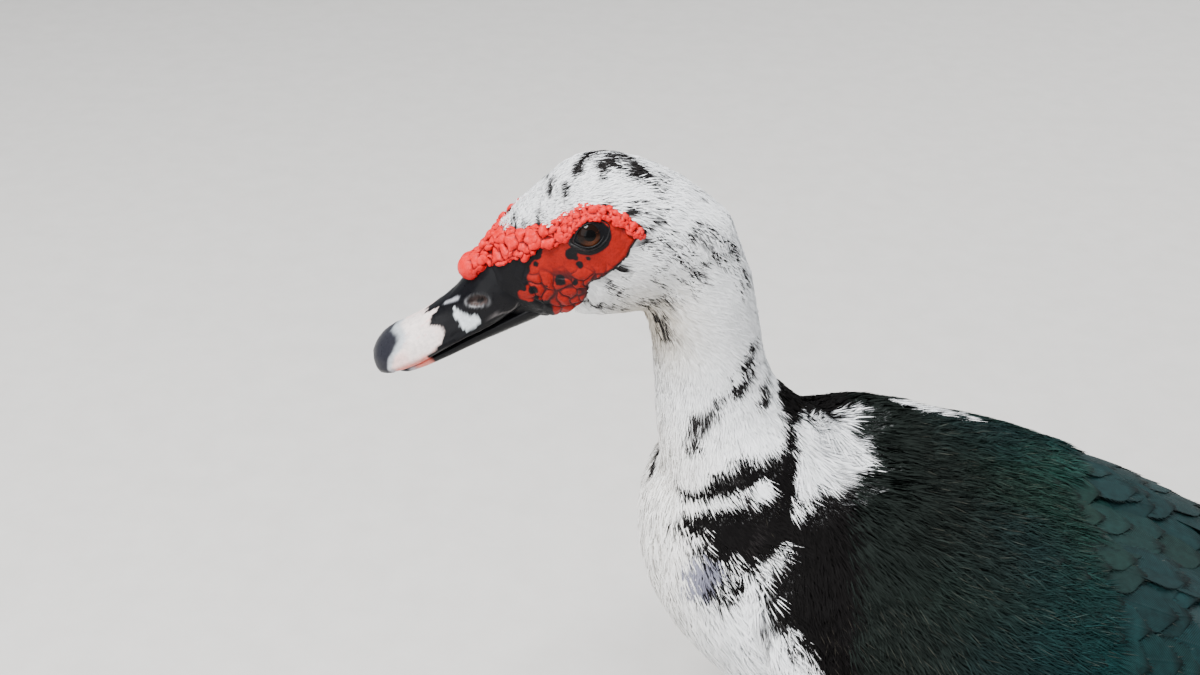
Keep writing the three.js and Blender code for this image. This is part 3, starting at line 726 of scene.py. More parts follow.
class Nodes:
    """Short hands for building a node tree."""

    def __init__(self, tree):
        self.tree = tree
        self.tree.nodes.clear()

    def add(self, kind, **values):
        node = self.tree.nodes.new(kind)
        for key, value in values.items():
            setattr(node, key, value)
        return node

    def link(self, source, target):
        self.tree.links.new(source, target)

    def feed(self, node, **inputs):
        for key, value in inputs.items():
            socket = node.inputs[key.replace("_", " ")]
            if isinstance(value, bpy.types.NodeSocket):
                self.link(value, socket)
            else:
                socket.default_value = value
        return node

    def maths(self, operation, first, second=0.5):
        node = self.add("ShaderNodeMath", operation=operation)
        for socket, value in zip(node.inputs, (first, second)):
            if isinstance(value, bpy.types.NodeSocket):
                self.link(value, socket)
            else:
                socket.default_value = value
        return node.outputs[0]

    def mix(self, share, first, second, blend_type="MIX"):
        node = self.add("ShaderNodeMix", data_type="RGBA", blend_type=blend_type)
        for index, value in ((0, share), (6, first), (7, second)):
            if isinstance(value, bpy.types.NodeSocket):
                self.link(value, node.inputs[index])
            else:
                node.inputs[index].default_value = value if index == 0 else (*value, 1)
        return node.outputs[2]

    def remap(self, value, low, high, out_low=0.0, out_high=1.0):
        node = self.add("ShaderNodeMapRange")
        self.feed(node, Value=value, From_Min=low, From_Max=high, To_Min=out_low, To_Max=out_high)
        return node.outputs[0]


def material(name, build, **constants):
    """A material whose build function links what varies; constants are set on the shader itself."""
    made = bpy.data.materials.new(name)
    made.use_nodes = True
    nodes = Nodes(made.node_tree)
    out = nodes.add("ShaderNodeOutputMaterial")
    shader = nodes.add("ShaderNodeBsdfPrincipled")
    nodes.link(shader.outputs[0], out.inputs[0])
    for key, value in constants.items():
        shader.inputs[key.replace("_", " ")].default_value = value
    build(nodes, shader)
    return made


def grain_group():
    """Fine uneven grain: a value around 0.5 and a height, both from the object's own coordinates."""
    if "fine_grain" in bpy.data.node_groups:
        return bpy.data.node_groups["fine_grain"]
    tree = bpy.data.node_groups.new("fine_grain", "ShaderNodeTree")
    tree.interface.new_socket("Scale", in_out="INPUT", socket_type="NodeSocketFloat").default_value = 400
    tree.interface.new_socket("Stretch", in_out="INPUT", socket_type="NodeSocketFloat").default_value = 0.0
    tree.interface.new_socket("Value", in_out="OUTPUT", socket_type="NodeSocketFloat")
    tree.interface.new_socket("Height", in_out="OUTPUT", socket_type="NodeSocketFloat")
    nodes = Nodes(tree)
    inputs, outputs = nodes.add("NodeGroupInput"), nodes.add("NodeGroupOutput")
    place = nodes.add("ShaderNodeTexCoord")
    broad = nodes.add("ShaderNodeTexNoise")
    nodes.feed(broad, Vector=place.outputs["Object"], Detail=3.0, Roughness=0.6)
    nodes.link(inputs.outputs["Scale"], broad.inputs["Scale"])
    pits = nodes.feed(nodes.add("ShaderNodeTexVoronoi"), Vector=place.outputs["Object"])
    nodes.link(nodes.maths("MULTIPLY", inputs.outputs["Scale"], 1.7), pits.inputs["Scale"])
    nodes.link(broad.outputs[0], outputs.inputs["Value"])
    height = nodes.maths("ADD", broad.outputs[0], nodes.maths("MULTIPLY", pits.outputs[0], 0.5))
    nodes.link(height, outputs.inputs["Height"])
    return tree


FULL_TURN = 6.283


def barbs_group():
    """The fine lines of a feather from its own map: dark slits between barbs and a raised shaft."""
    if "feather_barbs" in bpy.data.node_groups:
        return bpy.data.node_groups["feather_barbs"]
    tree = bpy.data.node_groups.new("feather_barbs", "ShaderNodeTree")
    tree.interface.new_socket("Barbs", in_out="INPUT", socket_type="NodeSocketFloat").default_value = 60
    tree.interface.new_socket("Line", in_out="OUTPUT", socket_type="NodeSocketFloat")
    tree.interface.new_socket("Shaft", in_out="OUTPUT", socket_type="NodeSocketFloat")
    tree.interface.new_socket("Rim", in_out="OUTPUT", socket_type="NodeSocketFloat")
    nodes = Nodes(tree)
    inputs, outputs = nodes.add("NodeGroupInput"), nodes.add("NodeGroupOutput")
    own_map = nodes.add("ShaderNodeUVMap", uv_map="Vane")
    split = nodes.add("ShaderNodeSeparateXYZ")
    nodes.link(own_map.outputs[0], split.inputs[0])
    across = nodes.maths("ABSOLUTE", nodes.maths("SUBTRACT", split.outputs[0], 0.5))
    slant = nodes.maths("SUBTRACT", split.outputs[1], nodes.maths("MULTIPLY", across, 0.55))
    pace = nodes.maths("MULTIPLY", inputs.outputs[0], FULL_TURN)
    wave = nodes.maths("SINE", nodes.maths("MULTIPLY", slant, pace))
    nodes.link(nodes.remap(wave, -1, 1), outputs.inputs["Line"])
    nodes.link(nodes.remap(across, 0.0, 0.035, 1.0, 0.0), outputs.inputs["Shaft"])
    edge = nodes.maths("MAXIMUM", nodes.remap(across, 0.36, 0.5), nodes.remap(split.outputs[1], 0.84, 0.98))
    nodes.link(edge, outputs.inputs["Rim"])
    return tree


def group_node(nodes, tree, **inputs):
    node = nodes.add("ShaderNodeGroup", node_tree=tree)
    return nodes.feed(node, **inputs)


def bumped(nodes, shader, height, strength, distance):
    bump = nodes.feed(nodes.add("ShaderNodeBump"), Height=height, Strength=strength, Distance=distance)
    nodes.link(bump.outputs[0], shader.inputs["Normal"])


def painted_skin(name, scale, rough_low, rough_high, strength, **constants):
    """A material whose colour is the paint attribute, varied by fine grain."""

    def build(nodes, shader):
        paint = nodes.add("ShaderNodeAttribute", attribute_name="paint")
        grain = group_node(nodes, grain_group(), Scale=scale)
        shade = nodes.remap(grain.outputs["Value"], 0.3, 0.7, 0.82, 1.12)
        tinted = nodes.mix(1.0, paint.outputs["Color"], (1, 1, 1), "MULTIPLY")
        grey = nodes.add("ShaderNodeCombineColor")
        for socket in grey.inputs:
            nodes.link(shade, socket)
        nodes.link(grey.outputs[0], tinted.node.inputs[7])
        nodes.link(tinted, shader.inputs["Base Color"])
        roughness = nodes.remap(grain.outputs["Value"], 0.3, 0.7, rough_low, rough_high)
        nodes.link(roughness, shader.inputs["Roughness"])
        bumped(nodes, shader, grain.outputs["Height"], strength, 0.0004)

    return material(name, build, **constants)


def plume_material(name, barbs, rim_shade, **constants):
    """Feathers: paint and gloss come with each feather, the lines from its own map."""

    def build(nodes, shader):
        paint = nodes.add("ShaderNodeAttribute", attribute_name="paint")
        gloss = nodes.add("ShaderNodeAttribute", attribute_name="gloss")
        lines = group_node(nodes, barbs_group(), Barbs=barbs)
        grain = group_node(nodes, grain_group(), Scale=260.0)
        lined = nodes.remap(lines.outputs["Line"], 0, 1, 0.55, 1.25)
        varied = nodes.maths("MULTIPLY", lined, nodes.remap(grain.outputs["Value"], 0.3, 0.7, 0.75, 1.25))
        rimmed = nodes.maths("MULTIPLY", varied, nodes.remap(lines.outputs["Rim"], 0, 1, 1.0, rim_shade))
        grey = nodes.add("ShaderNodeCombineColor")
        for socket in grey.inputs:
            nodes.link(rimmed, socket)
        tinted = nodes.mix(1.0, paint.outputs["Color"], (1, 1, 1), "MULTIPLY")
        nodes.link(grey.outputs[0], tinted.node.inputs[7])
        nodes.link(tinted, shader.inputs["Base Color"])
        inner_shine = nodes.remap(lines.outputs["Rim"], 0, 1, 0.35, 0.05)
        shine = nodes.maths("MULTIPLY", gloss.outputs["Fac"], inner_shine)
        nodes.link(shine, shader.inputs["Metallic"])
        nodes.link(nodes.remap(gloss.outputs["Fac"], 0, 1, 0.85, 0.60), shader.inputs["Roughness"])
        ribs = nodes.maths("MULTIPLY", lines.outputs["Line"], 0.35)
        height = nodes.maths("ADD", ribs, lines.outputs["Shaft"])
        bumped(nodes, shader, height, 0.35, 0.0004)

    return material(name, build, **constants)


def hair_material():
    """Hair-like plumage: paint and gloss come with each tuft, and dark tufts reflect less."""
    if "tuft_plumage" in bpy.data.materials:
        return bpy.data.materials["tuft_plumage"]

    def build(nodes, shader):
        paint = nodes.add("ShaderNodeAttribute", attribute_name="paint")
        gloss = nodes.add("ShaderNodeAttribute", attribute_name="gloss")
        nodes.link(paint.outputs["Color"], shader.inputs["Base Color"])
        specular = nodes.remap(gloss.outputs["Fac"], 0, 0.15, 0.30, 0.04)
        nodes.link(specular, shader.inputs["Specular IOR Level"])
        nodes.link(nodes.remap(gloss.outputs["Fac"], 0, 1, 0.75, 0.5), shader.inputs["Roughness"])
        nodes.link(nodes.remap(gloss.outputs["Fac"], 0.15, 1, 0.0, 0.3), shader.inputs["Metallic"])

    return material("tuft_plumage", build)


# The coat

SPINE = (
    (-70, 268), (-10, 316), (34, 306), (46, 262), (66, 215), (120, 160), (240, 135), (420, 110), (600, 95),
)
SPINE_SHARE = (0.0, 0.12, 0.34, 0.50, 0.60, 0.70, 0.82, 0.95, 1.0)


def unwrap(points):
    """Where each place lies on the skin's unwrap: along the bird's bent middle line, and round it."""
    p = bird(points)
    line = np.array(SPINE, float)
    flat = p[:, [0, 2]]
    best = np.full(len(p), 1e9)
    share = np.zeros(len(p))
    turn = np.zeros(len(p))
    for i, (a, b) in enumerate(zip(line, line[1:])):
        along = b - a
        t = np.clip(((flat - a) @ along) / (along @ along), 0, 1)
        near = a + t[:, None] * along
        off = flat - near
        out = np.array((-along[1], along[0])) / np.linalg.norm(along)
        d = np.linalg.norm(off, axis=1)
        angle = np.arctan2(p[:, 1], off @ out) / (2 * math.pi) + 0.5
        closer = d < best
        best = np.where(closer, d, best)
        share = np.where(closer, SPINE_SHARE[i] + t * (SPINE_SHARE[i + 1] - SPINE_SHARE[i]), share)
        turn = np.where(closer, angle, turn)
    return np.stack((share * 0.98 + 0.01, turn * 0.98 + 0.01), 1)


class Bed:
    """A surface that feathers root on."""

    def __init__(self, mesh):
        mesh.calc_loop_triangles()
        self.points = points_of(mesh)
        self.normals = normals_of(mesh)
        tris = np.zeros(len(mesh.loop_triangles) * 3, np.int32)
        mesh.loop_triangles.foreach_get("vertices", tris)
        self.tris = tris.reshape(-1, 3)
        a, b, c = (self.points[self.tris[:, i]] for i in range(3))
        self.area = np.linalg.norm(np.cross(b - a, c - a), axis=1) / 2
        self.centre = (a + b + c) / 3
        self.tree = BVHTree.FromPolygons(self.points.tolist(), self.tris.tolist())

    def scatter(self, rng, spacing, wanted):
        """Evenly spread roots where wanted(points) is true, about a spacing apart."""
        chosen = np.nonzero(wanted(self.centre))[0]
        area = self.area[chosen]
        count = int(area.sum() / spacing**2 * 4)
        if count == 0:
            return np.zeros((0, 3)), np.zeros((0, 3))
        tri = chosen[rng.choice(len(chosen), count, p=area / area.sum())]
        r1, r2 = np.sqrt(rng.random(count)), rng.random(count)
        weights = np.stack((1 - r1, r1 * (1 - r2), r1 * r2), 1)
        corners = self.tris[tri]
        points = np.einsum("nk,nkd->nd", weights, self.points[corners])
        normals = unit(np.einsum("nk,nkd->nd", weights, self.normals[corners]))
        gap = spacing * 0.86
        cell = np.floor(points / gap).astype(np.int64)
        kept, taken = [], {}
        for i in range(count):
            key = (cell[i, 0], cell[i, 1], cell[i, 2])
            p = points[i]
            clear = True
            for dx in (-1, 0, 1):
                for dy in (-1, 0, 1):
                    for dz in (-1, 0, 1):
                        for q in taken.get((key[0] + dx, key[1] + dy, key[2] + dz), ()):
                            if (q[0] - p[0]) ** 2 + (q[1] - p[1]) ** 2 + (q[2] - p[2]) ** 2 < gap * gap:
                                clear = False
                                break
                        if not clear:
                            break
                    if not clear:
                        break
                if not clear:
                    break
            if clear:
                taken.setdefault(key, []).append(p)
                kept.append(i)
        return points[kept], normals[kept]


def laid_flat(directions, normals):
    return unit(directions - (directions * normals).sum(1, keepdims=True) * normals)


def lie(points, normals):
    """The way the plumage lies: back over the head, down the neck, and back along the body."""
    p, local = bird(points), HEAD.local(points)
    out = unit(np.stack((np.zeros(len(p)), p[:, 1], np.zeros(len(p))), 1) + 1e-9)
    x, z = local[:, 0], local[:, 2]
    fall = np.radians(12 + 30 * step(12, -2, z) + 12 * step(-5, -20, z) + 22 * step(12, 40, x))
    head = HEAD.turned(np.stack((np.cos(fall), np.zeros(len(p)), -np.sin(fall)), 1))
    neck = np.tile((0.22, 0.0, -1.0), (len(p), 1))
    backward = 0.30 + 0.02 * np.clip(p[:, 0] - 25, 0, 60)
    breast = np.stack((backward, 0 * p[:, 0], -np.ones(len(p))), 1) + 0.25 * out
    apex = np.stack((np.full(len(p), 86.0), 14 * np.sign(p[:, 1] + 1e-9), np.full(len(p), 226.0)), 1)
    fan = unit(p - apex)
    straight = (0.25 + step(110, 250, p[:, 0]))[:, None]
    body = fan * step(230, 100, p[:, 0])[:, None] + np.array((1.0, 0, -0.16)) * straight
    thigh = np.array((0.45, 0.0, -1.0))
    low_front = np.array((0.9, 0.0, -0.35))
    way = blend(neck, head, step(262, 292, p[:, 2] + 0.35 * (p[:, 0] - 30)))
    way = blend(way, breast, step(232, 212, p[:, 2]) * step(100, 60, p[:, 0]))
    way = blend(way, low_front, step(160, 120, p[:, 2]))
    way = blend(way, body, step(76, 96, p[:, 0]) * step(120, 160, p[:, 2] + 0.2 * p[:, 0]))
    way = blend(way, np.array((1.0, 0.0, -0.05)), step(300, 360, p[:, 0]))
    way = blend(way, thigh, step(84, 70, p[:, 2]))
    return laid_flat(way, normals)


class Template:
    """One small feather or tuft: places as (along, across, lift), the blade each is on, and faces."""

    def __init__(self, places, blades, faces):
        self.places = np.array(places, float)
        self.blades = np.array(blades, np.int32)
        self.counts = np.array([len(face) for face in faces], np.int32)
        self.corners = np.concatenate([np.array(face, np.int32) for face in faces])


def tuft(rng, blades, spread, width, stagger=0.22):
    """Slender blades fanned from one root; across and along are shares of the length."""
    places, owners, faces = [], [], []
    for k in range(blades):
        share = (k + 0.5) / blades - 0.5
        angle = share * spread + rng.normal(0, spread * 0.10)
        reach = rng.uniform(1 - stagger, 1.0)
        start = share * width * blades * 0.8
        lift, roll = rng.uniform(-0.10, 0.12), rng.normal(0, 0.05)
        base = len(places)
        for t, half in ((0.0, 0.40), (0.55, 0.50)):
            line = start + math.sin(angle) * t * reach
            for sign in (-1, 1):
                off_line = line + sign * half * width
                places.append((t * reach * math.cos(angle), off_line, lift * t + sign * roll))
        places.append((reach * math.cos(angle), start + math.sin(angle) * reach, lift))
        faces += [(base, base + 2, base + 3, base + 1), (base + 2, base + 4, base + 3)]
        owners += [k] * 5
    return Template(places, owners, faces)


VANE_ROWS = (0.0, 0.24, 0.46, 0.62, 0.74, 0.84, 0.91, 0.96, 0.99)


def vane(rng, width, columns=6, tip=0.36, fringe=0, fray=0.010, camber=0.15):
    """One broad feather, blunt and round at its end, with its shaft raised and loose barbs along its rim."""

    def rim(v, u):
        rounding = max(v - (1 - tip), 0) / tip
        body = (0.40 + 0.60 * min(v / 0.35, 1) ** 0.7) * math.sqrt(max(1 - rounding**2.3, 0.0))
        return v - 0.16 * u * u * width * v, u * width / 2 * body

    places, faces = [], []
    for v in VANE_ROWS:
        for c in range(columns + 1):
            u = c / columns * 2 - 1
            ragged = rng.normal(0, fray) if abs(u) == 1 or v == VANE_ROWS[-1] else 0
            along, across = rim(v, u)
            places.append((along + ragged, across + 0.5 * ragged, 0.25 - camber * u * u))
    for r in range(len(VANE_ROWS) - 1):
        for c in range(columns):
            a = r * (columns + 1) + c
            faces.append((a, a + columns + 1, a + columns + 2, a + 1))
    owners = [0] * len(places)
    for k in range(fringe):
        w = (k + rng.random()) / fringe * 2 - 1
        v = 0.97 - max(abs(w) - 0.4, 0) * 0.75
        u = max(min(w / 0.4, 1), -1) * 0.97
        along, across = rim(v, u)
        turn, reach = w * 0.9 + rng.normal(0, 0.15), rng.uniform(0.05, 0.10)
        half = 0.009
        base = len(places)
        sag = camber * u * u
        places.append((along - 0.02, across - half, 0.22 - sag))
        places.append((along - 0.02, across + half, 0.22 - sag))
        places.append((along + reach * math.cos(turn), across + reach * math.sin(turn), 0.20 - sag))
        faces.append((base, base + 2, base + 1))
        owners += [1 + k] * 3
    return Template(places, owners, faces)


# The share of a feather's length where it shows
SEEN = 0.8
# A feather leaves its bed where the bed lies this far off, in metres or as a share of the feather's length, or
# where the bed turns so sharply that its normals' dot product falls below the last number
STRAY = 0.007
STRAY_SHARE = 0.35
SHARP_TURN = 0.8
DUST = np.array((0.050, 0.045, 0.035))
BAKE_PATCH = 0.003


def between(steps, low, chosen, t):
    """For each chosen feather, its stepped places or directions read between two steps."""
    before, after = (steps[k][:, chosen].transpose(1, 0, 2) for k in (low, low + 1))
    return before * (1 - t) + after * t


def lay(
    name, bed, roots, ways, lengths, depth, templates, rng, finish, painter,
    steps=3, under=0.4, dusty=0.0, vary=0.05, soft=0.75, risen=0.55,
):
    """Lays one template per root along the bed and joins them all in one mesh.

    depth is how far the tips stand off the bed. The colour is that of the place where a feather shows.
    dusty is the share of pale blades in dark plumage, and vary is how much the blades' tone differs.
    soft is how far the blades take the light as the bed under them does. risen is where they reach their
    height.
    """
    count = len(roots)
    ways = np.asarray(ways, float)
    lengths = np.broadcast_to(lengths, count).astype(float)
    depth = np.broadcast_to(depth, count).astype(float)
    line = np.zeros((steps + 1, count, 3))
    up = np.zeros((steps + 1, count, 3))
    point, way = roots.copy(), ways.copy()
    nearest = bed.tree.find_nearest
    for k in range(steps + 1):
        if k:
            point = point + way * (lengths / steps)[:, None]
        found, normal = np.empty((count, 3)), np.empty((count, 3))
        for i in range(count):
            hit = nearest(point[i])
            found[i], normal[i] = hit[0], hit[1]
        # Past the bed's end, or over a sharp edge, a feather runs straight on.
        if k:
            gap = np.linalg.norm(point - found, axis=1)
            turned = (normal * up[k - 1]).sum(1) < SHARP_TURN
            off = (gap > np.minimum(STRAY_SHARE * lengths, STRAY)) | turned
            normal[off] = up[k - 1][off]
            found[off] = point[off]
        point = found
        way = laid_flat(way, normal)
        line[k], up[k] = point, normal
    up[1:] = unit(up[1:] + 0.6 * up[:-1])
    low = int(SEEN * steps)
    share = SEEN * steps - low
    seen = line[low] * (1 - share) + line[low + 1] * share + up[low] * depth[:, None]
    tip_paint, gloss = painter(seen)
    root_paint = painter(roots + up[0] * depth[:, None])[0]
    choice = rng.integers(0, len(templates), count)
    parts = []
    for which, template in enumerate(templates):
        mine = np.nonzero(choice == which)[0]
        if len(mine) == 0:
            continue
        along, across, raise_by = template.places.T
        at = np.clip(along, 0, 1) * steps
        low = np.minimum(at.astype(int), steps - 1)
        t = (at - low)[None, :, None]
        spine = between(line, low, mine, t)
        rise = unit(between(up, low, mine, t))
        over = (along - np.clip(along, 0, 1))[None, :, None] * lengths[mine][:, None, None]
        side = unit(np.cross(rise, ways[mine][:, None, :]))
        profile = -under + (1 + under) * np.minimum(np.maximum(along, 0) / risen, 1) ** 0.8
        height = (profile + raise_by)[None, :] * depth[mine][:, None]
        spread = across[None, :] * lengths[mine][:, None]
        spots = spine + over * ways[mine][:, None, :] + side * spread[..., None] + rise * height[..., None]
        turning = step(0.0, 0.15, along)[None, :, None]
        paint = root_paint[mine][:, None, :] * (1 - turning) + tip_paint[mine][:, None, :] * turning
        blades = template.blades.max() + 1
        tone = 1 + vary * rng.normal(0, 1, (len(mine), blades))
        pale = (rng.random((len(mine), blades)) < dusty) * (tip_paint[mine].mean(1) < 0.1)[:, None]
        pale[:, 0] = False
        dust = pale[:, template.blades, None] * step(0.6, 0.9, along)[None, :, None]
        paint = paint * np.clip(tone, 0.3, 2)[:, template.blades, None] + dust * DUST
        parts.append((mine, template, spots, paint, rise))
    return joined_feathers(name, parts, unwrap(roots), gloss, finish, soft)


def joined_feathers(name, parts, home, gloss, finish, soft):
    points, corners, counts, paints, glosses, bakes, maps, beds = [], [], [], [], [], [], [], []
    base = 0
    for mine, template, spots, paint, rise in parts:
        n, size = len(mine), len(template.places)
        points.append(spots.reshape(-1, 3))
        start = base + np.arange(n)[:, None] * size
        corners.append((start + template.corners[None]).ravel())
        counts.append(np.tile(template.counts, n))
        along, across = template.places[:, 0], template.places[:, 1]
        breadth = max(np.abs(across).max(), 1e-6)
        own = np.stack((0.5 + 0.5 * across / breadth, along), 1)
        paints.append(paint.reshape(-1, 3))
        beds.append(rise.reshape(-1, 3))
        glosses.append(np.repeat(gloss[mine], size))
        patch = home[mine][:, None, :] + (own[None] - 0.5) * BAKE_PATCH
        bakes.append(patch[:, template.corners].reshape(-1, 2))
        maps.append(np.tile(own[template.corners], (n, 1)))
        base += n * size
    points, corners, counts = np.concatenate(points), np.concatenate(corners), np.concatenate(counts)
    mesh = bpy.data.meshes.new(name)
    mesh.vertices.add(len(points))
    mesh.vertices.foreach_set("co", points.astype(np.float32).ravel())
    mesh.loops.add(len(corners))
    mesh.loops.foreach_set("vertex_index", corners.astype(np.int32))
    mesh.polygons.add(len(counts))
    mesh.polygons.foreach_set("loop_start", np.concatenate(([0], np.cumsum(counts)[:-1])).astype(np.int32))
    mesh.update(calc_edges=True)
    smooth_shaded(mesh)
    for label, values in (("OFBake", np.concatenate(bakes)), ("Vane", np.concatenate(maps))):
        layer = mesh.uv_layers.new(name=label)
        layer.uv.foreach_set("vector", np.clip(values, 0, 1).astype(np.float32).ravel())
    give_colour(mesh, "paint", np.clip(np.concatenate(paints), 0, 1))
    give_value(mesh, "gloss", np.concatenate(glosses))
    mesh.validate()
    lit_as = unit(blend(normals_of(mesh), np.concatenate(beds), soft))
    mesh.normals_split_custom_set_from_vertices(lit_as.tolist())
    return new_object(name, mesh, finish)


# Shared by the operators
MADE = {}


def sizes():
    return bpy.context.scene.drake_sizes


def dice(offset):
    return np.random.default_rng(sizes().seed * 100 + offset)


class DRAKE_OT_stage(bpy.types.Operator):
    """Sets the floor, the lights and the camera"""

    bl_idname = "drake.stage"
    bl_label = "Stage and camera"

    def execute(self, context):
        scene = context.scene
        bm = bmesh.new()
        bmesh.ops.create_grid(bm, x_segments=4, y_segments=4, size=6.0)
        floor_mesh = bpy.data.meshes.new("floor")
        bm.to_mesh(floor_mesh)
        bm.free()

        def build(nodes, shader):
            noise = group_node(nodes, grain_group(), Scale=40.0)
            tone = nodes.remap(noise.outputs["Value"], 0.3, 0.7, 0.0, 1.0)
            nodes.link(nodes.mix(tone, (0.62, 0.60, 0.57), (0.66, 0.64, 0.61)), shader.inputs["Base Color"])

        floor = new_object("floor", floor_mesh, material("floor_pale", build, Roughness=0.9))
        floor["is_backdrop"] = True
        world = bpy.data.worlds.new("studio")
        scene.world = world
        world.use_nodes = True
        background = world.node_tree.nodes["Background"]
        background.inputs[0].default_value = (0.80, 0.86, 0.95, 1)
        background.inputs[1].default_value = 0.46
        for name, place, power, size in (
            ("key", (-0.8, -0.7, 2.1), 108, 0.8),
            ("fill", (-1.2, -1.7, 1.0), 22, 1.6),
            ("back", (1.3, 1.2, 1.7), 40, 1.2),
        ):
            light = bpy.data.lights.new(name, "AREA")
            light.energy = power
            light.size = size
            lamp = bpy.data.objects.new(name, light)
            lamp.location = place
            lamp.rotation_euler = (Vector((-0.1, 0, 0.2)) - Vector(place)).to_track_quat("-Z", "Y").to_euler()
            scene.collection.objects.link(lamp)
        camera = bpy.data.objects.new("camera", bpy.data.cameras.new("camera"))
        camera.data.sensor_width = SENSOR
        camera.data.lens = LENS
        camera.data.clip_start = 0.01
        camera.rotation_euler = (CAMERA_TILT, 0, CAMERA_TURN)
        camera.location = CAMERA_PLACE
        scene.collection.objects.link(camera)
        scene.camera = camera
        return {"FINISHED"}


def face_region(margin):
    def wanted(points):
        local = HEAD.local(points)
        near = (local[:, 0] > -50) & (local[:, 0] < 26) & (np.abs(local[:, 1]) > 3) & (local[:, 2] < 20)
        return near & (bare_face(local) < margin)

    return wanted


def coat_depth(points):
    """How far the skin lies under the outer surface, in millimetres."""
    p, local = bird(points), HEAD.local(points)
    head, neck, body, back = 1.5, 2.6, 4.0, 3.0
    over_back = step(100, 140, p[:, 0]) * step(110, 150, p[:, 2])
    depth = blend(np.full(len(p), body), np.full(len(p), back), over_back)
    depth = blend(depth, np.full(len(p), neck), step(205, 235, p[:, 2]))
    depth = blend(depth, np.full(len(p), head), step(255, 285, p[:, 2] + 0.3 * (p[:, 0] - 30)))
    depth = depth * step(-4.0, 2.5, bare_face(local))
    near_bill = step(-30, -37, local[:, 0]) * (p[:, 2] > 230)
    return blend(depth, 0.7 + 3.0 * step(-38, -45, local[:, 0]), near_bill)


BACK_ROUNDS = 44
EYE_ROOM = 8.5 * MM


class DRAKE_OT_skin(bpy.types.Operator):
    """Makes the one skin of head, neck, trunk and thighs, with the bare face and its folds"""

    bl_idname = "drake.skin"
    bl_label = "Skin"

    def execute(self, context):
        flesh = ("head", "neck", "breast", "back_and_belly", "rump", "thigh_left", "thigh_right")
        bm = copies_joined(flesh + ("wing_left", "wing_right", "bill_upper", "bill_lower", "bill_nail"))
        for _, word in SIDES:
            ball_into(bm, middle("eye_" + word), EYE_ROOM)
        bm = one_skin(bm, sizes().skin_step, 6)
        on_body = on_back(bird([v.co for v in bm.verts]))
        back = [v for v, wanted in zip(bm.verts, on_body) if wanted]
        for _ in range(BACK_ROUNDS):
            bmesh.ops.smooth_vert(bm, verts=back, factor=0.5, **EVERY_WAY)
        refine(bm, lambda p: (HEAD.local(p)[:, 0] < 56) & (bird(p)[:, 2] > 262))
        refine(bm, face_region(3.5))
        refine(bm, face_region(1.5))
        mesh = mesh_of(bm, "skin")
        points, normals = points_of(mesh), normals_of(mesh)
        local = HEAD.local(points)
        depth = coat_depth(points) * MM
        outer = points
        points = points - normals * depth[:, None]
        edge = bare_face(local)
        on_face = step(1.0, -1.5, edge)
        fine, _ = pebbles(local, 1.1, 41)
        eye_gap = np.linalg.norm((local[:, [0, 2]] - (-EYE_FORWARD, EYE_RISE)) / (1.0, 0.8), axis=1)
        away = step(8.0, 11, eye_gap)
        jowl = step(-7, -16, local[:, 0] * 0.3 + local[:, 2]) * step(-34, -28, local[:, 0])
        creased = np.clip(jowl + step(9, 15, local[:, 0]), 0, 1)
        height = 0.07 * (0.5 - fine) * on_face
        height += 1.25 * (1 - np.exp(-3.2 * face_plates(local))) * on_face * creased * away
        height += 0.20 * rough(local, 5, 44) * on_face * away
        height += 0.45 * np.exp(-((edge + 1.0) / 1.1) ** 2) * (edge < 2)
        points += normals * (height * MM)[:, None]
        set_points(mesh, points)
        paint, gloss = plumage(outer)
        paint = blend(paint, bare_paint(local), step(0.9, 0.2, edge))
        billward = step(-33.5, -36, local[:, 0]) * (bird(points)[:, 2] > 230)
        paint = blend(paint, colour("bill"), billward)
        give_colour(mesh, "paint", paint)
        finish = painted_skin("bare_skin", 1300.0, 0.38, 0.58, 0.25, Specular_IOR_Level=0.14)
        thing = new_object("skin", mesh, finish)
        finish_piece(thing, "plumage_white", *flesh)
        MADE["bed"] = Bed(mesh)
        MADE["skin_tree"] = MADE["bed"].tree
        return {"FINISHED"}


def face_plates(local):
    """How far each place lies from the cracks between the plates of the bare face, as a share of a plate."""
    warped = local + 1.3 * np.stack([rough(local, 3.5, seed) for seed in (45, 46, 47)], 1)
    near, second = pebbles(warped * (1, 1, 0.72), 4.8, 43)
    return second - near


def bare_paint(local):
    """Colours of the bare face: orange-red with black towards the bill, spots, and painted shade in the cracks
    between its plates.
    """
    level = brow_level(local)
    wander = 0.9 * rough(local, 2.4, 51) + 0.5 * rough(local, 0.9, 52)
    red = outline_distance(level[:, [0, 2]], RED_OUTLINE) + wander
    tone = 1 + 0.10 * rough(local, 4, 53) + 0.08 * rough(local, 0.8, 54)
    black = np.tile(colour("bill"), (len(local), 1))
    paint = blend(black, colour("face"), step(0.25, -0.25, red)) * tone[:, None]
    for x, z, radius in FACE_SPOTS:
        d = np.hypot(local[:, 0] - x, local[:, 2] - z) - radius + 0.55 * wander
        paint = blend(paint, colour("bill"), step(0.3, -0.2, d))
    ring = np.hypot((local[:, 0] + EYE_FORWARD) / 8.1, (local[:, 2] - EYE_RISE) / 6.4) + 0.03 * wander
    paint = blend(paint, colour("bill"), step(1.03, 0.97, ring))
    low = step(-7, -14, local[:, 0] * 0.3 + local[:, 2]) * step(-34, -28, local[:, 0])
    # Painted shade: the cracks between the plates of the lower face and behind the eye are darkened to near
    # black
    crack_shade = step(0.15, 0.03, face_plates(local)) * np.clip(low + 0.6 * step(9, 14, local[:, 0]), 0, 1)
    paint = blend(paint, colour("bill") * 2, 0.85 * crack_shade)
    rim = np.exp(-((bare_face(local) + 0.1) / 0.6) ** 2) * step(-1, -5, local[:, 2]) * (local[:, 0] < 24)
    return blend(paint, colour("bill") * 1.5, 0.9 * rim)


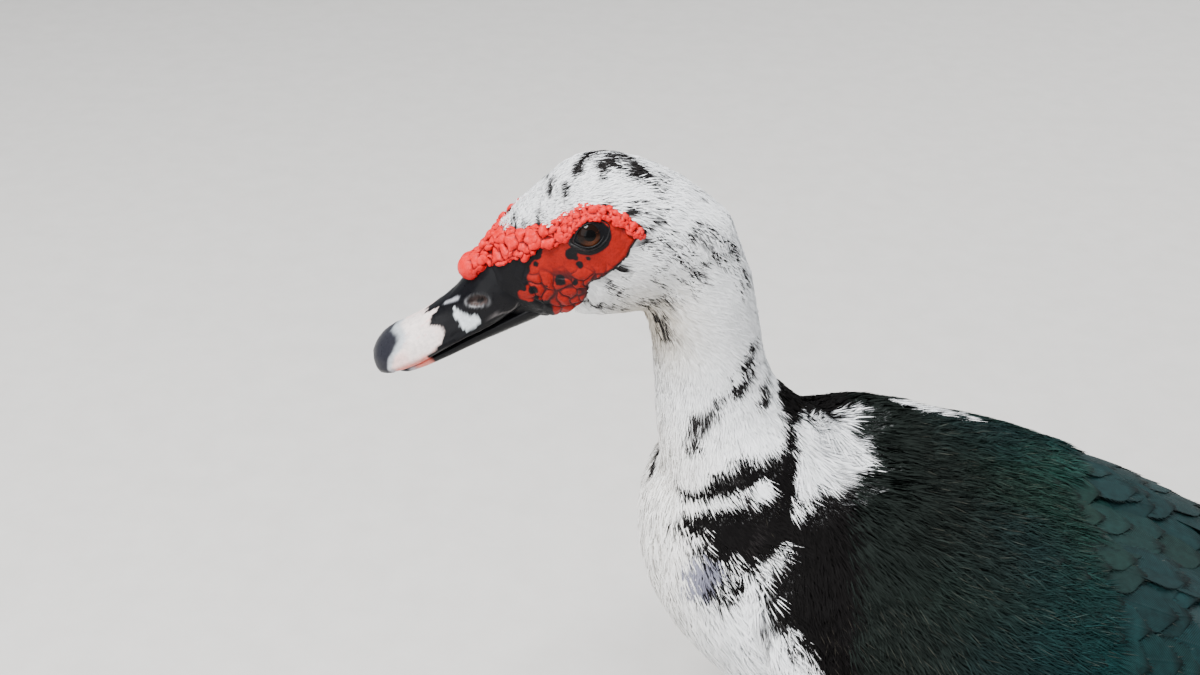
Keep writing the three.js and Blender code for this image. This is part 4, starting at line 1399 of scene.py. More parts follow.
# Stations of the bill: along, top, bottom, half width, in the head's frame
UPPER_BILL = (
    (-28, 2, -15, 6), (-33, 5.4, -17, 11.6), (-38, 6.2, -18.2, 13.1), (-46.5, 2.3, -19.2, 12.8),
    (-58.5, -3.6, -20.2, 11.9), (-72, -6.4, -21, 12.2), (-83.5, -7.6, -21.2, 13.1),
    (-92, -9.2, -20.4, 11.8), (-97.4, -12.2, -19.6, 7.6), (-99.6, -16, -19.2, 1.6),
)
LOWER_BILL = (
    (-26, -20.6, -25.4, 6), (-33, -17.6, -26.2, 11.2), (-54, -18.9, -25.6, 10.4),
    (-76, -20.0, -25.2, 10.6), (-88, -20.4, -24.2, 9.2), (-94.4, -20.6, -22.6, 2.0),
)
# The nostril: along, degrees round from the top, half length, half height
NOSTRIL = (-49.8, 55.0, 4.5, 2.1)


def bill_surface(rows, squareness, widest, narrowing, u, v):
    """Local places on a lofted bill: u round it from 0 to 1, v along it from 0 to 1."""
    eased = 0.5 - 0.5 * np.cos(np.clip(v, 0, 1) * math.pi)
    station = smooth_rows(rows, blend(v, eased, 0.25))
    x, top, bottom, half = station.T
    angle = u * 2 * math.pi
    c, s = np.cos(angle), np.sin(angle)
    across = np.sign(c) * np.abs(c) ** (2 / squareness)
    up = np.sign(s) * np.abs(s) ** (2 / squareness)
    mid = bottom + (top - bottom) * widest
    tall = np.where(s > 0, top - mid, mid - bottom)
    closing = np.minimum(np.minimum(v * 22, (1 - v) * 40), 1)
    half = half * (1 - narrowing * np.clip(up, 0, 1) * step(-92, -78, x))
    y = across * half * closing
    z = mid + up * np.maximum(tall, 0.4) * closing
    return np.stack((x, y, z), 1)


ROUND_BILL = 0.21


def round_bill(local):
    """Degrees round the bill from its top line, counted down either side."""
    return np.degrees(np.arctan2(np.abs(local[:, 1]), local[:, 2] + 14))


def on_bill(marks):
    """Marks read in the view of the bill, as (degrees round it from the top, along)."""
    local = HEAD.local(SIGHT.carried(BILL_VIEW, marks))
    return np.stack((np.round(round_bill(local)), np.round(local[:, 0], 1)), 1)


# The rear edge of the bill's pale band, from the top line round to the underside
BAND_MARKS = (
    (410, 705), (445, 665), (530, 650), (520, 680), (480, 710), (460, 760), (455, 815), (500, 812),
    (545, 830), (580, 870), (585, 910), (565, 960), (445, 1060),
)
BAND_BY_HAND = ((8, -72), (104, -73.5), (127, -77))
BAND_EDGE = np.vstack((on_bill(BAND_MARKS), BAND_BY_HAND))
BAND_EDGE = BAND_EDGE[BAND_EDGE[:, 0].argsort()]
# The nail's rear edge, as (out from the middle, along)
NAIL_EDGE = (
    (0, -86), (2, -85.2), (5.5, -83.9), (8, -84), (9.3, -85.2), (10.6, -87.2), (11.2, -89.6), (12.4, -94),
)
# A pale patch beside the nostril
BILL_PATCH_MARKS = (
    (660, 650), (672, 690), (652, 720), (690, 770), (722, 782), (722, 820), (742, 850), (800, 850),
    (858, 828), (870, 800), (903, 775), (880, 750), (860, 730), (830, 730), (810, 745), (770, 715),
    (720, 705), (700, 680),
)
BILL_PATCH = on_bill(BILL_PATCH_MARKS)[:, ::-1]
# The line of the gape, as (along, height), where a painted highlight runs along the upper bill's edge
GAPE_MARKS = ((930, 770), (1000, 735), (1080, 705), (1150, 690), (1190, 650), (1210, 620))
GAPE_LINE = on_head(BILL_VIEW, GAPE_MARKS)[:, [0, 2]]


def nostril_reach(local):
    """How far out from the nostril's middle each place is: 1 at its rim."""
    along, round_by = local[:, 0] - NOSTRIL[0], ROUND_BILL * (round_bill(local) - NOSTRIL[1])
    along, round_by = along * 0.94 + round_by * 0.34, round_by * 0.94 - along * 0.34
    return np.hypot(along / NOSTRIL[2], round_by / NOSTRIL[3])


# The bill's smaller tints, some of them painted highlights
NAIL_HIGHLIGHT = np.array((0.36, 0.42, 0.46))
PATCH_GREY = np.array((0.62, 0.66, 0.68))
STREAK_HIGHLIGHT = np.array((0.34, 0.35, 0.38))
GAPE_HIGHLIGHT = np.array((0.11, 0.10, 0.10))
NOSTRIL_RIM = np.array((0.13, 0.13, 0.135))
NOSTRIL_INSIDE = np.array((0.065, 0.046, 0.042))


def bill_paint(local):
    """Black bill with a dark nail, a pale band behind it with a pink rim, a grey-white patch, and painted
    light: highlights behind the nail, on its upper side, along the gape and on the nostril's rim, and shade in
    the nostril.
    """
    x, y, z = local.T
    black = colour("bill")
    paint = np.tile(black, (len(local), 1))
    wander = rough(local, 1.6, 62)
    turn = round_bill(local)
    back_edge = np.interp(turn, *np.transpose(BAND_EDGE)) + 0.5 * wander
    pale = step(-0.4, 0.4, back_edge - x)
    rim = step(-16.0, -19.5, z + 0.6 * wander) + 0.3 * step(-81, -86, x) * step(-11, -14, z)
    edge_glow = np.exp(-(((back_edge - x) - 1.2) / 1.6) ** 2) * 0.12
    vein = step(0.05, 0.01, np.abs(rough(local * (0.35, 1, 1), 4.6, 63)))
    cloudy = 1 - 0.10 * step(-0.2, 0.6, rough(local, 6, 67))
    tone = np.tile(colour("bill_pale"), (len(local), 1)) * cloudy[:, None]
    tone = blend(tone, colour("bill_pink"), np.clip(rim + edge_glow + 0.35 * vein * step(-15, -10, z), 0, 1))
    paint = blend(paint, tone, pale)
    nail = np.interp(np.abs(y), *np.transpose(NAIL_EDGE)) + 0.5 * wander
    # Painted highlight: a blue-grey reflection over the nail's rear edge
    paint = blend(paint, NAIL_HIGHLIGHT, 0.85 * step(nail + 4.5, nail + 0.8, x))
    paint = blend(paint, black * 6, step(nail + 0.8, nail - 2.6, x))
    patch = outline_distance(np.stack((x, turn * ROUND_BILL), 1), BILL_PATCH * (1, ROUND_BILL))
    paint = blend(paint, PATCH_GREY, step(0.3, -0.2, patch + 0.35 * wander))
    # Painted highlight: a grey-white streak on the bill's upper side before the nostril
    streak_highlight = capsule(np.stack((x, turn * ROUND_BILL), 1), (-62.5, 4.6), (-57, 6.6), 0.7) + 0.3 * wander
    paint = blend(paint, STREAK_HIGHLIGHT, step(0.5, -0.3, streak_highlight))
    # Painted highlight: a grey line of light along the upper bill's edge at the gape
    edge = np.exp(-((z - np.interp(x, *GAPE_LINE.T)) / 0.35) ** 2)
    shown = step(-54, -50, x) * step(-35, -38, x) * (np.abs(y) > 9)
    paint = blend(paint, GAPE_HIGHLIGHT, 0.8 * edge * shown)
    ring = nostril_reach(local)
    # The nostril's rim is paler all round and much lighter along its lower side: partly its own pale rim,
    # partly a painted highlight
    lower = step(-0.8, 0.6, wander * 0.3 + (turn - NOSTRIL[1]) / 14 - (x - NOSTRIL[0]) / 5)
    rimmed = np.exp(-(((ring - 1.08) / 0.13) ** 2)) * (0.25 + 0.75 * lower)
    paint = blend(paint, NOSTRIL_RIM, rimmed)
    paint = blend(paint, NOSTRIL_INSIDE, step(0.95, 0.75, ring))
    # Painted shade: the deep middle of the nostril is black
    paint = blend(paint, black, step(0.62, 0.35, np.hypot((x + 49.2) / 3.4, (turn - NOSTRIL[1]) / 9)))
    return paint * (1 + 0.08 * rough(local, 3, 64))[:, None]


class DRAKE_OT_bill(bpy.types.Operator):
    """Makes the bill in two halves, with nostrils, a nail and a rim along the gape"""

    bl_idname = "drake.bill"
    bl_label = "Bill"

    def execute(self, context):
        def upper(u, v):
            local = bill_surface(UPPER_BILL, 2.5, 0.22, 0.20, u, v)
            x, y, z = local.T
            middle_line = np.stack((x, 0 * y, np.full(len(x), -13.0)), 1)
            out = unit(local - middle_line)
            ring = nostril_reach(local)
            height = 0.38 * np.exp(-(((ring - 1.12) / 0.2) ** 2)) - 2.4 * step(1.0, 0.6, ring)
            hollow = np.exp(-((x + 60) / 12) ** 2 - ((z + 12) / 4) ** 2) * 0.55
            rim = 0.55 * np.exp(-((z + 17.6 + 0.03 * (x + 60)) / 1.0) ** 2) * (x < -36)
            nail = x - np.interp(np.abs(y), *np.transpose(NAIL_EDGE))
            raised = 0.35 * step(1.5, -2.5, nail) * (z > -19)
            wrinkle = 0.10 * rough(local * (0.35, 1, 1), 1.6, 65) * step(-80, -60, x)
            return HEAD.world(local + out * (height - hollow + rim + raised + wrinkle)[:, None])

        def lower(u, v):
            local = bill_surface(LOWER_BILL, 2.3, 0.72, 0.0, u, v)
            return HEAD.world(local + np.array((0, 0, 0.08)) * rough(local, 2, 66)[:, None])

        bm = formed_grid(112, 150, upper)
        held = mesh_of(formed_grid(56, 80, lower), "held")
        bm.from_mesh(held)
        bpy.data.meshes.remove(held)
        mesh = mesh_of(bm, "bill")
        give_colour(mesh, "paint", bill_paint(HEAD.local(points_of(mesh))))
        finish = painted_skin(
            "bill_horn", 700.0, 0.26, 0.42, 0.12,
            Specular_IOR_Level=0.14, Coat_Weight=0.04, Coat_Roughness=0.12,
        )
        thing = new_object("bill", mesh, finish)
        finish_piece(thing, "bill", "bill_upper", "bill_lower", "bill_nail")
        return {"FINISHED"}


# The brow's row of caruncles as [along, height, half width], set on the skin on each side
BROW_ROW = (
    (-39, 6.2, 3.6), (-37, 6.8, 4.4), (-34, 7.2, 4.8), (-30, 7.6, 4.6), (-24, 7.6, 4.2),
    (-19, 7.4, 3.6), (-14, 6.9, 3.0), (-10, 7.2, 3.5), (-6, 8.8, 3.5), (-2, 10.4, 2.5), (3, 10.6, 2.4),
    (7, 9.4, 2.7), (10.5, 6.6, 2.8), (13.5, 3.0, 2.9), (16, -0.6, 3.0), (17.6, -3.4, 2.0),
)
# The knob's lobes as [along, out, height, radius]
KNOB = (
    (-47.2, 2.7, 3.6, 5.0), (-43.2, 3.6, 4.4, 4.2), (-39.0, 4.4, 5.6, 3.2), (-38.4, 2.4, 9.0, 2.5),
    (-36.2, 4.6, 8.8, 2.5), (-34.2, 2.2, 10.6, 2.5), (-33.4, 5.4, 9.4, 2.4),
)


class DRAKE_OT_caruncles(bpy.types.Operator):
    """Makes the knob over the bill and the beaded rows along the brows"""

    bl_idname = "drake.caruncles"
    bl_label = "Caruncles"

    def execute(self, context):
        rng = dice(3)
        bm = bmesh.new()
        for side, word in SIDES:
            for place, normal, size in self.lobes(side, rng):
                long = size * rng.uniform(1.0, 1.35)
                made = ball_into(bm, (0, 0, 0), size * MM, 2)
                turn = Vector(normal).to_track_quat("Z", "Y").to_matrix()
                spin = rng.uniform(-0.5, 0.5)
                for vert in made:
                    x, y, z = vert.co
                    across = x * math.cos(spin) - y * math.sin(spin)
                    lengthwise = (x * math.sin(spin) + y * math.cos(spin)) * long / size
                    vert.co = turn @ Vector((across, lengthwise, z * 0.95))
                    vert.co += Vector(place + normal * size * 0.12 * MM)
            for x, y, z, radius in KNOB:
                ball_into(bm, HEAD.world((x, y * side, z - 1.6 * (side > 0))), radius * MM, 3)
        bm = one_skin(bm, 0.00036, 5)
        mesh = mesh_of(bm, "caruncles")
        points, normals = points_of(mesh), normals_of(mesh)
        local = HEAD.local(points)
        near, second = pebbles(local + 0.4 * rough(local, 2.5, 75)[:, None], 4.7, 71)
        small, small_second = pebbles(local, 2.5, 76)
        eyeward = step(-14, -6, local[:, 0])
        folds, folds_second = pebbles(local * (0.55, 1, 0.9), 3.4, 74)
        calm = step(-38.5, -41, local[:, 0])
        height = 1.35 * (0.55 - np.exp(-4.2 * (second - near))) * (1 - calm) * (1 - 0.7 * eyeward)
        height += 0.75 * (0.5 - np.exp(-4.0 * (small_second - small))) * (1 - calm) * (0.15 + 0.85 * eyeward)
        height += 0.08 * rough(local, 1.3, 72)
        height -= 0.45 * step(0.12, 0.0, folds_second - folds) * calm * step(-49, -44, local[:, 0])
        points += normals * (height * MM)[:, None]
        set_points(mesh, points)
        # pale is the colour of painted highlights on the lobes
        red, pale = colour("caruncle"), np.array((0.80, 0.075, 0.070))
        sunk = hollows(mesh, 10) / MM
        # Painted shade: the red darkens towards black where the surface lies sunk between the lobes
        paint = blend(np.tile(red, (len(local), 1)), red * (0.16, 0.08, 0.10), step(0.05, 0.20, sunk))
        # Painted highlights: patches of pale red on the humps, none in the hollows
        lit = step(-0.2, 0.7, rough(local, 1.8, 73)) * step(0.0, -0.10, sunk)
        paint = blend(paint, pale, 0.3 * lit)
        give_colour(mesh, "paint", paint)
        finish = painted_skin("caruncle_skin", 1500.0, 0.34, 0.5, 0.25, Specular_IOR_Level=0.14)
        thing = new_object("caruncles", mesh, finish)
        finish_piece(thing, "caruncle", "caruncle_knob", "caruncle_left", "caruncle_right")
        return {"FINISHED"}

    def lobes(self, side, rng):
        """Places, normals and sizes of one row's lobes, packed on the skin; the right row sits higher."""
        path = smooth_rows(BROW_ROW, np.linspace(0, 1, 400))
        tree = MADE["skin_tree"]
        placed = []
        for _ in range(3500):
            x, z, half = path[rng.integers(len(path))]
            tilt = math.radians(27) * (side > 0) * float(step(15, 5, x))
            z = z + rng.uniform(-0.8, 0.8) * half
            start = (x, 60 * side * math.cos(tilt), z + 60 * math.sin(tilt))
            toward = -(HEAD.y * side * math.cos(tilt) + HEAD.z * math.sin(tilt))
            hit = tree.ray_cast(Vector(HEAD.world(start)), Vector(toward))
            if hit[0] is None:
                continue
            local = HEAD.local(hit[0])
            size = rng.uniform(1.5, 2.2) * (1.15 - 0.30 * float(step(-25, 0, x)))
            if local[1] * side < 0.8 or any(np.linalg.norm(local - q) < 0.50 * (size + s) for q, s in placed):
                continue
            placed.append((local, size))
            yield np.array(hit[0]), np.array(hit[1]), size


EYEBALL = 7.9
LID_BLACK = np.array((0.005, 0.005, 0.006))
# The grey of painted highlights on the lids
LID_HIGHLIGHT = np.array((0.020, 0.020, 0.024))
EYE_TILT = math.radians(14)


def eye_axes(side):
    """The eye's own axes: out of the head, along it, and up."""
    out = unit(HEAD.y * side * math.cos(EYE_TILT) + np.array((0, 0, 1)) * math.sin(EYE_TILT))
    along = unit(HEAD.x - (HEAD.x @ out) * out)
    return out, along, np.cross(out, along) * side * -1


class DRAKE_OT_eyes(bpy.types.Operator):
    """Makes the two eyeballs with their cornea, iris and pupil, and the black lids round them"""

    bl_idname = "drake.eyes"
    bl_label = "Eyes and lids"

    def execute(self, context):
        finish = self.eye_finish()
        lid_finish = painted_skin("lid_skin", 1400.0, 0.3, 0.5, 0.3, Specular_IOR_Level=0.3)
        for side, word in SIDES:
            self.eyeball(side, word, finish)
            self.lids(side, word, lid_finish)
        return {"FINISHED"}

    def eye_finish(self):
        def build(nodes, shader):
            own_map = nodes.add("ShaderNodeUVMap", uv_map="Iris")
            split = nodes.add("ShaderNodeSeparateXYZ")
            nodes.link(own_map.outputs[0], split.inputs[0])
            out, turn = split.outputs[0], split.outputs[1]
            rays = nodes.feed(nodes.add("ShaderNodeTexNoise"), Scale=1.0, Detail=2.0)
            stretched = nodes.add("ShaderNodeCombineXYZ")
            nodes.link(nodes.maths("MULTIPLY", out, 6.0), stretched.inputs[0])
            nodes.link(nodes.maths("MULTIPLY", turn, 90.0), stretched.inputs[1])
            nodes.link(stretched.outputs[0], rays.inputs["Vector"])
            low = nodes.remap(nodes.maths("ABSOLUTE", nodes.maths("SUBTRACT", turn, 0.75)), 0.22, 0.02)
            warm = nodes.mix(low, (0.006, 0.003, 0.002), (0.12, 0.034, 0.012))
            rayed = nodes.mix(nodes.remap(rays.outputs[0], 0.35, 0.7, 0.0, 0.6), warm, (0.014, 0.006, 0.004))
            ring = nodes.mix(nodes.remap(out, 0.86, 1.0), rayed, (0.006, 0.005, 0.005))
            whole = nodes.mix(nodes.remap(out, 0.42, 0.47, 1.0, 0.0), ring, (0.002, 0.002, 0.002))
            nodes.link(whole, shader.inputs["Base Color"])

        return material("eye_wet", build, Roughness=0.06, Specular_IOR_Level=0.12)

    def eyeball(self, side, word, finish):
        centre = middle("eye_" + word)
        out, along, up = eye_axes(side)

        def ball(u, v):
            polar = v * math.pi
            turn = u * 2 * math.pi
            flat = np.sin(polar) * EYEBALL
            bulge = 0.75 * np.exp(-((flat / 4.6) ** 4)) * (polar < 1.5)
            place = (np.cos(polar) * EYEBALL + bulge)[:, None] * out
            place = place + (np.cos(turn) * flat)[:, None] * along + (np.sin(turn) * flat)[:, None] * up
            return centre + place * MM

        mesh = mesh_of(formed_grid(64, 64, ball), "eyeball_" + word)
        rel = (points_of(mesh) - centre) / MM
        outward, a, b = rel @ out, rel @ along, rel @ up
        flat = np.hypot(a, b)
        reach = np.where(outward > 0, flat / 4.9, 2.0)
        turn = np.arctan2(b, a) / (2 * math.pi) % 1.0
        layer = mesh.uv_layers.new(name="Iris")
        corner = np.zeros(len(mesh.loops), np.int32)
        mesh.loops.foreach_get("vertex_index", corner)
        layer.uv.foreach_set("vector", np.stack((reach[corner], turn[corner]), 1).astype(np.float32).ravel())
        thing = new_object("eyeball_" + word, mesh, finish)
        finish_piece(thing, "eye", "eye_" + word)

    def lids(self, side, word, finish):
        """A ring on the skin: a rounded rim at the eye, a groove, and an outer fold sunk in the face."""
        tree = MADE["skin_tree"]
        centre = middle("eye_" + word)
        out, along, up = eye_axes(side)

        def ring(u, v):
            turn = u * 2 * math.pi
            from_front = np.minimum(turn, 2 * math.pi - turn)
            corner = 0.9 * np.exp(-(((turn - math.pi) / 0.35) ** 2))
            corner = corner + 0.5 * np.exp(-((from_front / 0.35) ** 2))
            inner_a, inner_b = 5.0 + corner, 4.0
            outer_a, outer_b = 7.9 + corner, 6.2
            a = np.cos(turn) * (inner_a + (outer_a - inner_a) * v)
            b = np.sin(turn) * (inner_b + (outer_b - inner_b) * v)
            flat = np.hypot(a, b)
            on_ball = np.sqrt(np.maximum((EYEBALL + 0.15) ** 2 - flat**2, 0))
            base = np.zeros(len(u))
            for i in range(len(u)):
                start = centre + (40 * out + a[i] * along + b[i] * up) * MM
                hit = tree.ray_cast(Vector(start), Vector(-out))
                base[i] = ((np.array(hit[0]) - centre) @ out) / MM if hit[0] is not None else 5.0
            lid = np.maximum(on_ball, base * step(0.25, 0.8, v) + on_ball * (1 - step(0.25, 0.8, v)))
            rim = 0.95 * np.exp(-(((v - 0.13) / 0.12) ** 2)) + 0.55 * np.exp(-(((v - 0.62) / 0.16) ** 2))
            rim = rim - 0.25 * step(0.8, 1.0, v)
            wrinkle = 0.07 * np.sin(turn * 31) * step(0.2, 0.4, v)
            sink = -2.2 * step(0.05, 0.0, v)
            place = (lid + rim + wrinkle + sink)[:, None] * out + a[:, None] * along + b[:, None] * up
            return centre + place * MM

        bm = formed_grid(96, 22, ring)
        mesh = mesh_of(bm, "eyelids_" + word)
        local = HEAD.local(points_of(mesh))
        # Painted highlights: a lighter grey laid in patches over the black lids, as on lit ridges
        ridge_highlight = step(0.3, 0.9, rough(local * (0.5, 1, 1.4), 1.3, 81))
        paint = blend(np.tile(LID_BLACK, (len(local), 1)), LID_HIGHLIGHT, 0.6 * ridge_highlight)
        give_colour(mesh, "paint", paint)
        thing = new_object("eyelids_" + word, mesh, finish)
        finish_piece(thing, "caruncle")


class DRAKE_OT_legs(bpy.types.Operator):
    """Makes the scaled shanks, the webbed feet and the claws"""

    bl_idname = "drake.legs"
    bl_label = "Legs, feet and claws"

    def execute(self, context):
        finish = painted_skin("leg_scales", 500.0, 0.38, 0.6, 0.35, Specular_IOR_Level=0.4)
        claw_finish = painted_skin("claw_horn", 600.0, 0.22, 0.4, 0.15, Specular_IOR_Level=0.5)
        for _, word in SIDES:
            bm = one_skin(copies_joined(("shank_" + word, "foot_" + word)), 0.0009, 4)
            mesh = mesh_of(bm, "leg_" + word)
            points, normals = points_of(mesh), normals_of(mesh)
            p = bird(points)
            near, second = pebbles(p, 2.6, 91)
            small = 0.22 * np.minimum((second - near) * 2.5, 0.8)
            points += normals * ((small - 0.15) * MM * step(0.0, 1.5, p[:, 2]))[:, None]
            points[:, 2] = np.maximum(points[:, 2], 0)
            set_points(mesh, points)
            leg = colour("leg")
            dusk = 0.35 + 0.65 * step(-0.5, 0.5, rough(p, 9, 92))
            scaled = 0.7 + 0.5 * np.minimum((second - near) * 3, 1)
            paint = np.tile(leg, (len(p), 1)) * (dusk * scaled)[:, None]
            paint = blend(paint, np.array((0.03, 0.028, 0.022)), 0.6 * step(0.35, 0.6, rough(p, 16, 93)))
            give_colour(mesh, "paint", paint)
            finish_piece(new_object("leg_" + word, mesh, finish), "leg", "shank_" + word, "foot_" + word)
            claws = ["claw_%s_%s" % (toe, word) for toe in ("inner", "middle", "outer")]
            bm = one_skin(copies_joined(claws), 0.0004, 2)
            mesh = mesh_of(bm, "claws_" + word)
            points = points_of(mesh)
            points[:, 2] = np.maximum(points[:, 2], 0)
            set_points(mesh, points)
            give_colour(mesh, "paint", np.tile(np.array((0.035, 0.03, 0.026)), (len(points), 1)))
            finish_piece(new_object("claws_" + word, mesh, claw_finish), "claw", *claws)
        return {"FINISHED"}


def above_neck(p):
    return p[:, 2] + 0.35 * (p[:, 0] - 30)


def wing_front(p):
    """How far along the bird the wing begins at each height."""
    return 76 + 0.80 * np.clip(191 - p[:, 2], 0, 60)


def on_shoulders(p):
    return (p[:, 0] > 80) & (p[:, 0] < 126) & (p[:, 2] > 193) & (np.abs(p[:, 1]) < 62)


def on_back(p):
    """Roots of the plumage over the back and wings: behind the neck, above the belly."""
    return (p[:, 0] > wing_front(p) - 4) & (p[:, 2] > 112 - 0.03 * p[:, 0]) & (p[:, 0] < 432)


def clothe(name, slot, wanted, spacing, lengths, templates, offset, finish, turn=7.0, extra=0.0, **more):
    """Scatters roots over the skin and lays feathers along its lie, with their tips at the outer surface."""
    rng, bed = dice(offset), MADE["bed"]
    roots, normals = bed.scatter(rng, spacing, wanted)
    ways = lie(roots, normals)
    angle = rng.normal(0, math.radians(turn), len(roots))[:, None]
    ways = laid_flat(ways * np.cos(angle) + np.cross(normals, ways) * np.sin(angle), normals)
    long = lengths(roots) * rng.uniform(0.85, 1.12, len(roots)) * MM
    deep = (coat_depth(roots) + extra) * rng.uniform(0.90, 1.08, len(roots)) * MM
    thing = lay(name, bed, roots, ways, long, deep, templates, rng, finish, plumage, **more)
    return finish_piece(thing, slot)


class DRAKE_OT_coat(bpy.types.Operator):
    """Lays the hair-like plumage of head and neck and the feathers of breast, belly and thighs"""

    bl_idname = "drake.coat"
    bl_label = "Head, neck and breast plumage"

    def execute(self, context):
        own = sizes()
        finish = hair_material()
        rng = dice(20)
        short = [tuft(rng, 7, 0.55, 0.070) for _ in range(6)]
        silky = [tuft(rng, 8, 0.50, 0.040) for _ in range(6)]
        broad = [tuft(rng, 12, 0.80, 0.036) for _ in range(6)]

        def head(points):
            p, local = bird(points), HEAD.local(points)
            feathered = local[:, 0] > -33 + 15 * step(-10, -26, local[:, 2])
            return (above_neck(p) > 268) & (bare_face(local) > 0.2) & feathered

        def head_length(points):
            local = HEAD.local(points)
            return 3.8 + 5.0 * step(-25, 30, local[:, 0]) + 1.5 * step(0, -25, local[:, 2])

        def crown(points):
            return head(points) & (HEAD.local(points)[:, 2] > -2)

        def cheeks(points):
            return head(points) & (HEAD.local(points)[:, 2] <= -2)

        clothe(
            "coat_crown", "plumage_white", crown, own.head_spacing, head_length, short, 21, finish,
            steps=2, extra=0.5,
        )
        clothe(
            "coat_cheeks", "plumage_white", cheeks, own.head_spacing, head_length, short, 22, finish, steps=2,
        )

        def neck(points):
            p = bird(points)
            return (above_neck(p) <= 271) & (p[:, 2] > 204) & (p[:, 0] < 90) & (p[:, 0] > 5)

        def neck_length(points):
            return 10 + 3 * step(255, 215, bird(points)[:, 2])

        clothe("coat_neck", "plumage_white", neck, own.neck_spacing, neck_length, silky, 31, finish, turn=8)

        def breast(points):
            p = bird(points)
            return (p[:, 2] <= 206) & (p[:, 0] < wing_front(p) + 5) & (p[:, 2] > 88)

        clothe(
            "coat_breast", "plumage_white", breast, own.breast_spacing,
            lambda q: np.full(len(q), 14.0), broad, 41, finish,
        )

        def under(points):
            p = bird(points)
            clear_of_wing = (p[:, 2] <= 88) | (p[:, 0] >= wing_front(p))
            return (p[:, 2] < 118) & (p[:, 0] >= 80) & (p[:, 0] < 430) & clear_of_wing

        clothe(
            "coat_belly", "plumage_white", under, own.breast_spacing * 1.5,
            lambda q: 12 + 9 * step(84, 92, bird(q)[:, 2]), broad, 42, finish,
        )
        return {"FINISHED"}


class DRAKE_OT_back(bpy.types.Operator):
    """Lays the white shoulder fans, the hair-like front of the back and the broad feathers behind it"""

    bl_idname = "drake.back"
    bl_label = "Back and wing coverts"

    def execute(self, context):
        own = sizes()
        hair = hair_material()
        broad_finish = plume_material("vane_plumage", 46.0, 0.22, Specular_IOR_Level=0.10)
        rng = dice(50)
        fans = [tuft(rng, 14, 0.75, 0.024) for _ in range(6)]
        loose = [tuft(rng, 14, 0.85, 0.030) for _ in range(6)]
        small = [vane(rng, 0.68, columns=8, fringe=26, camber=0.3) for _ in range(4)]
        large = [vane(rng, 0.60, columns=8, fringe=26, camber=0.3) for _ in range(4)]

        clothe(
            "coat_shoulders", "plumage_white", lambda q: on_shoulders(bird(q)), 0.0026,
            lambda q: np.full(len(q), 17.0), fans, 51, hair, turn=5, extra=0.8,
        )

        def front(points):
            p = bird(points)
            return on_back(p) & ~on_shoulders(p) & (p[:, 0] < 196 + 12 * rough(p, 14, 55))

        clothe(
            "coat_back_front", "plumage_dark", front, own.back_spacing * 0.40,
            lambda q: 12 + 4 * step(100, 160, bird(q)[:, 0]), loose, 52, hair, turn=9, dusty=0.07, vary=0.30,
        )

        def length(points):
            return 27 + 17 * step(160, 260, bird(points)[:, 0])

        def middle_back(points):
            p = bird(points)
            return on_back(p) & (p[:, 0] >= 160) & (p[:, 0] < 212) & ~on_shoulders(p)

        def rear(points):
            p = bird(points)
            return on_back(p) & (p[:, 0] >= 204)

        clothe(
            "coat_back_middle", "plumage_dark", middle_back, own.back_spacing * 1.3, length, small, 53,
            broad_finish, turn=4, dusty=0.20, vary=0.08, soft=0.6, risen=1.0, under=0.8, extra=-0.6,
        )
        clothe(
            "coat_back_rear", "plumage_dark", rear, own.back_spacing * 1.9, length, large, 54,
            broad_finish, turn=3, dusty=0.06, vary=0.08, soft=0.6, risen=1.0, under=0.8, extra=-0.6,
        )
        return {"FINISHED"}


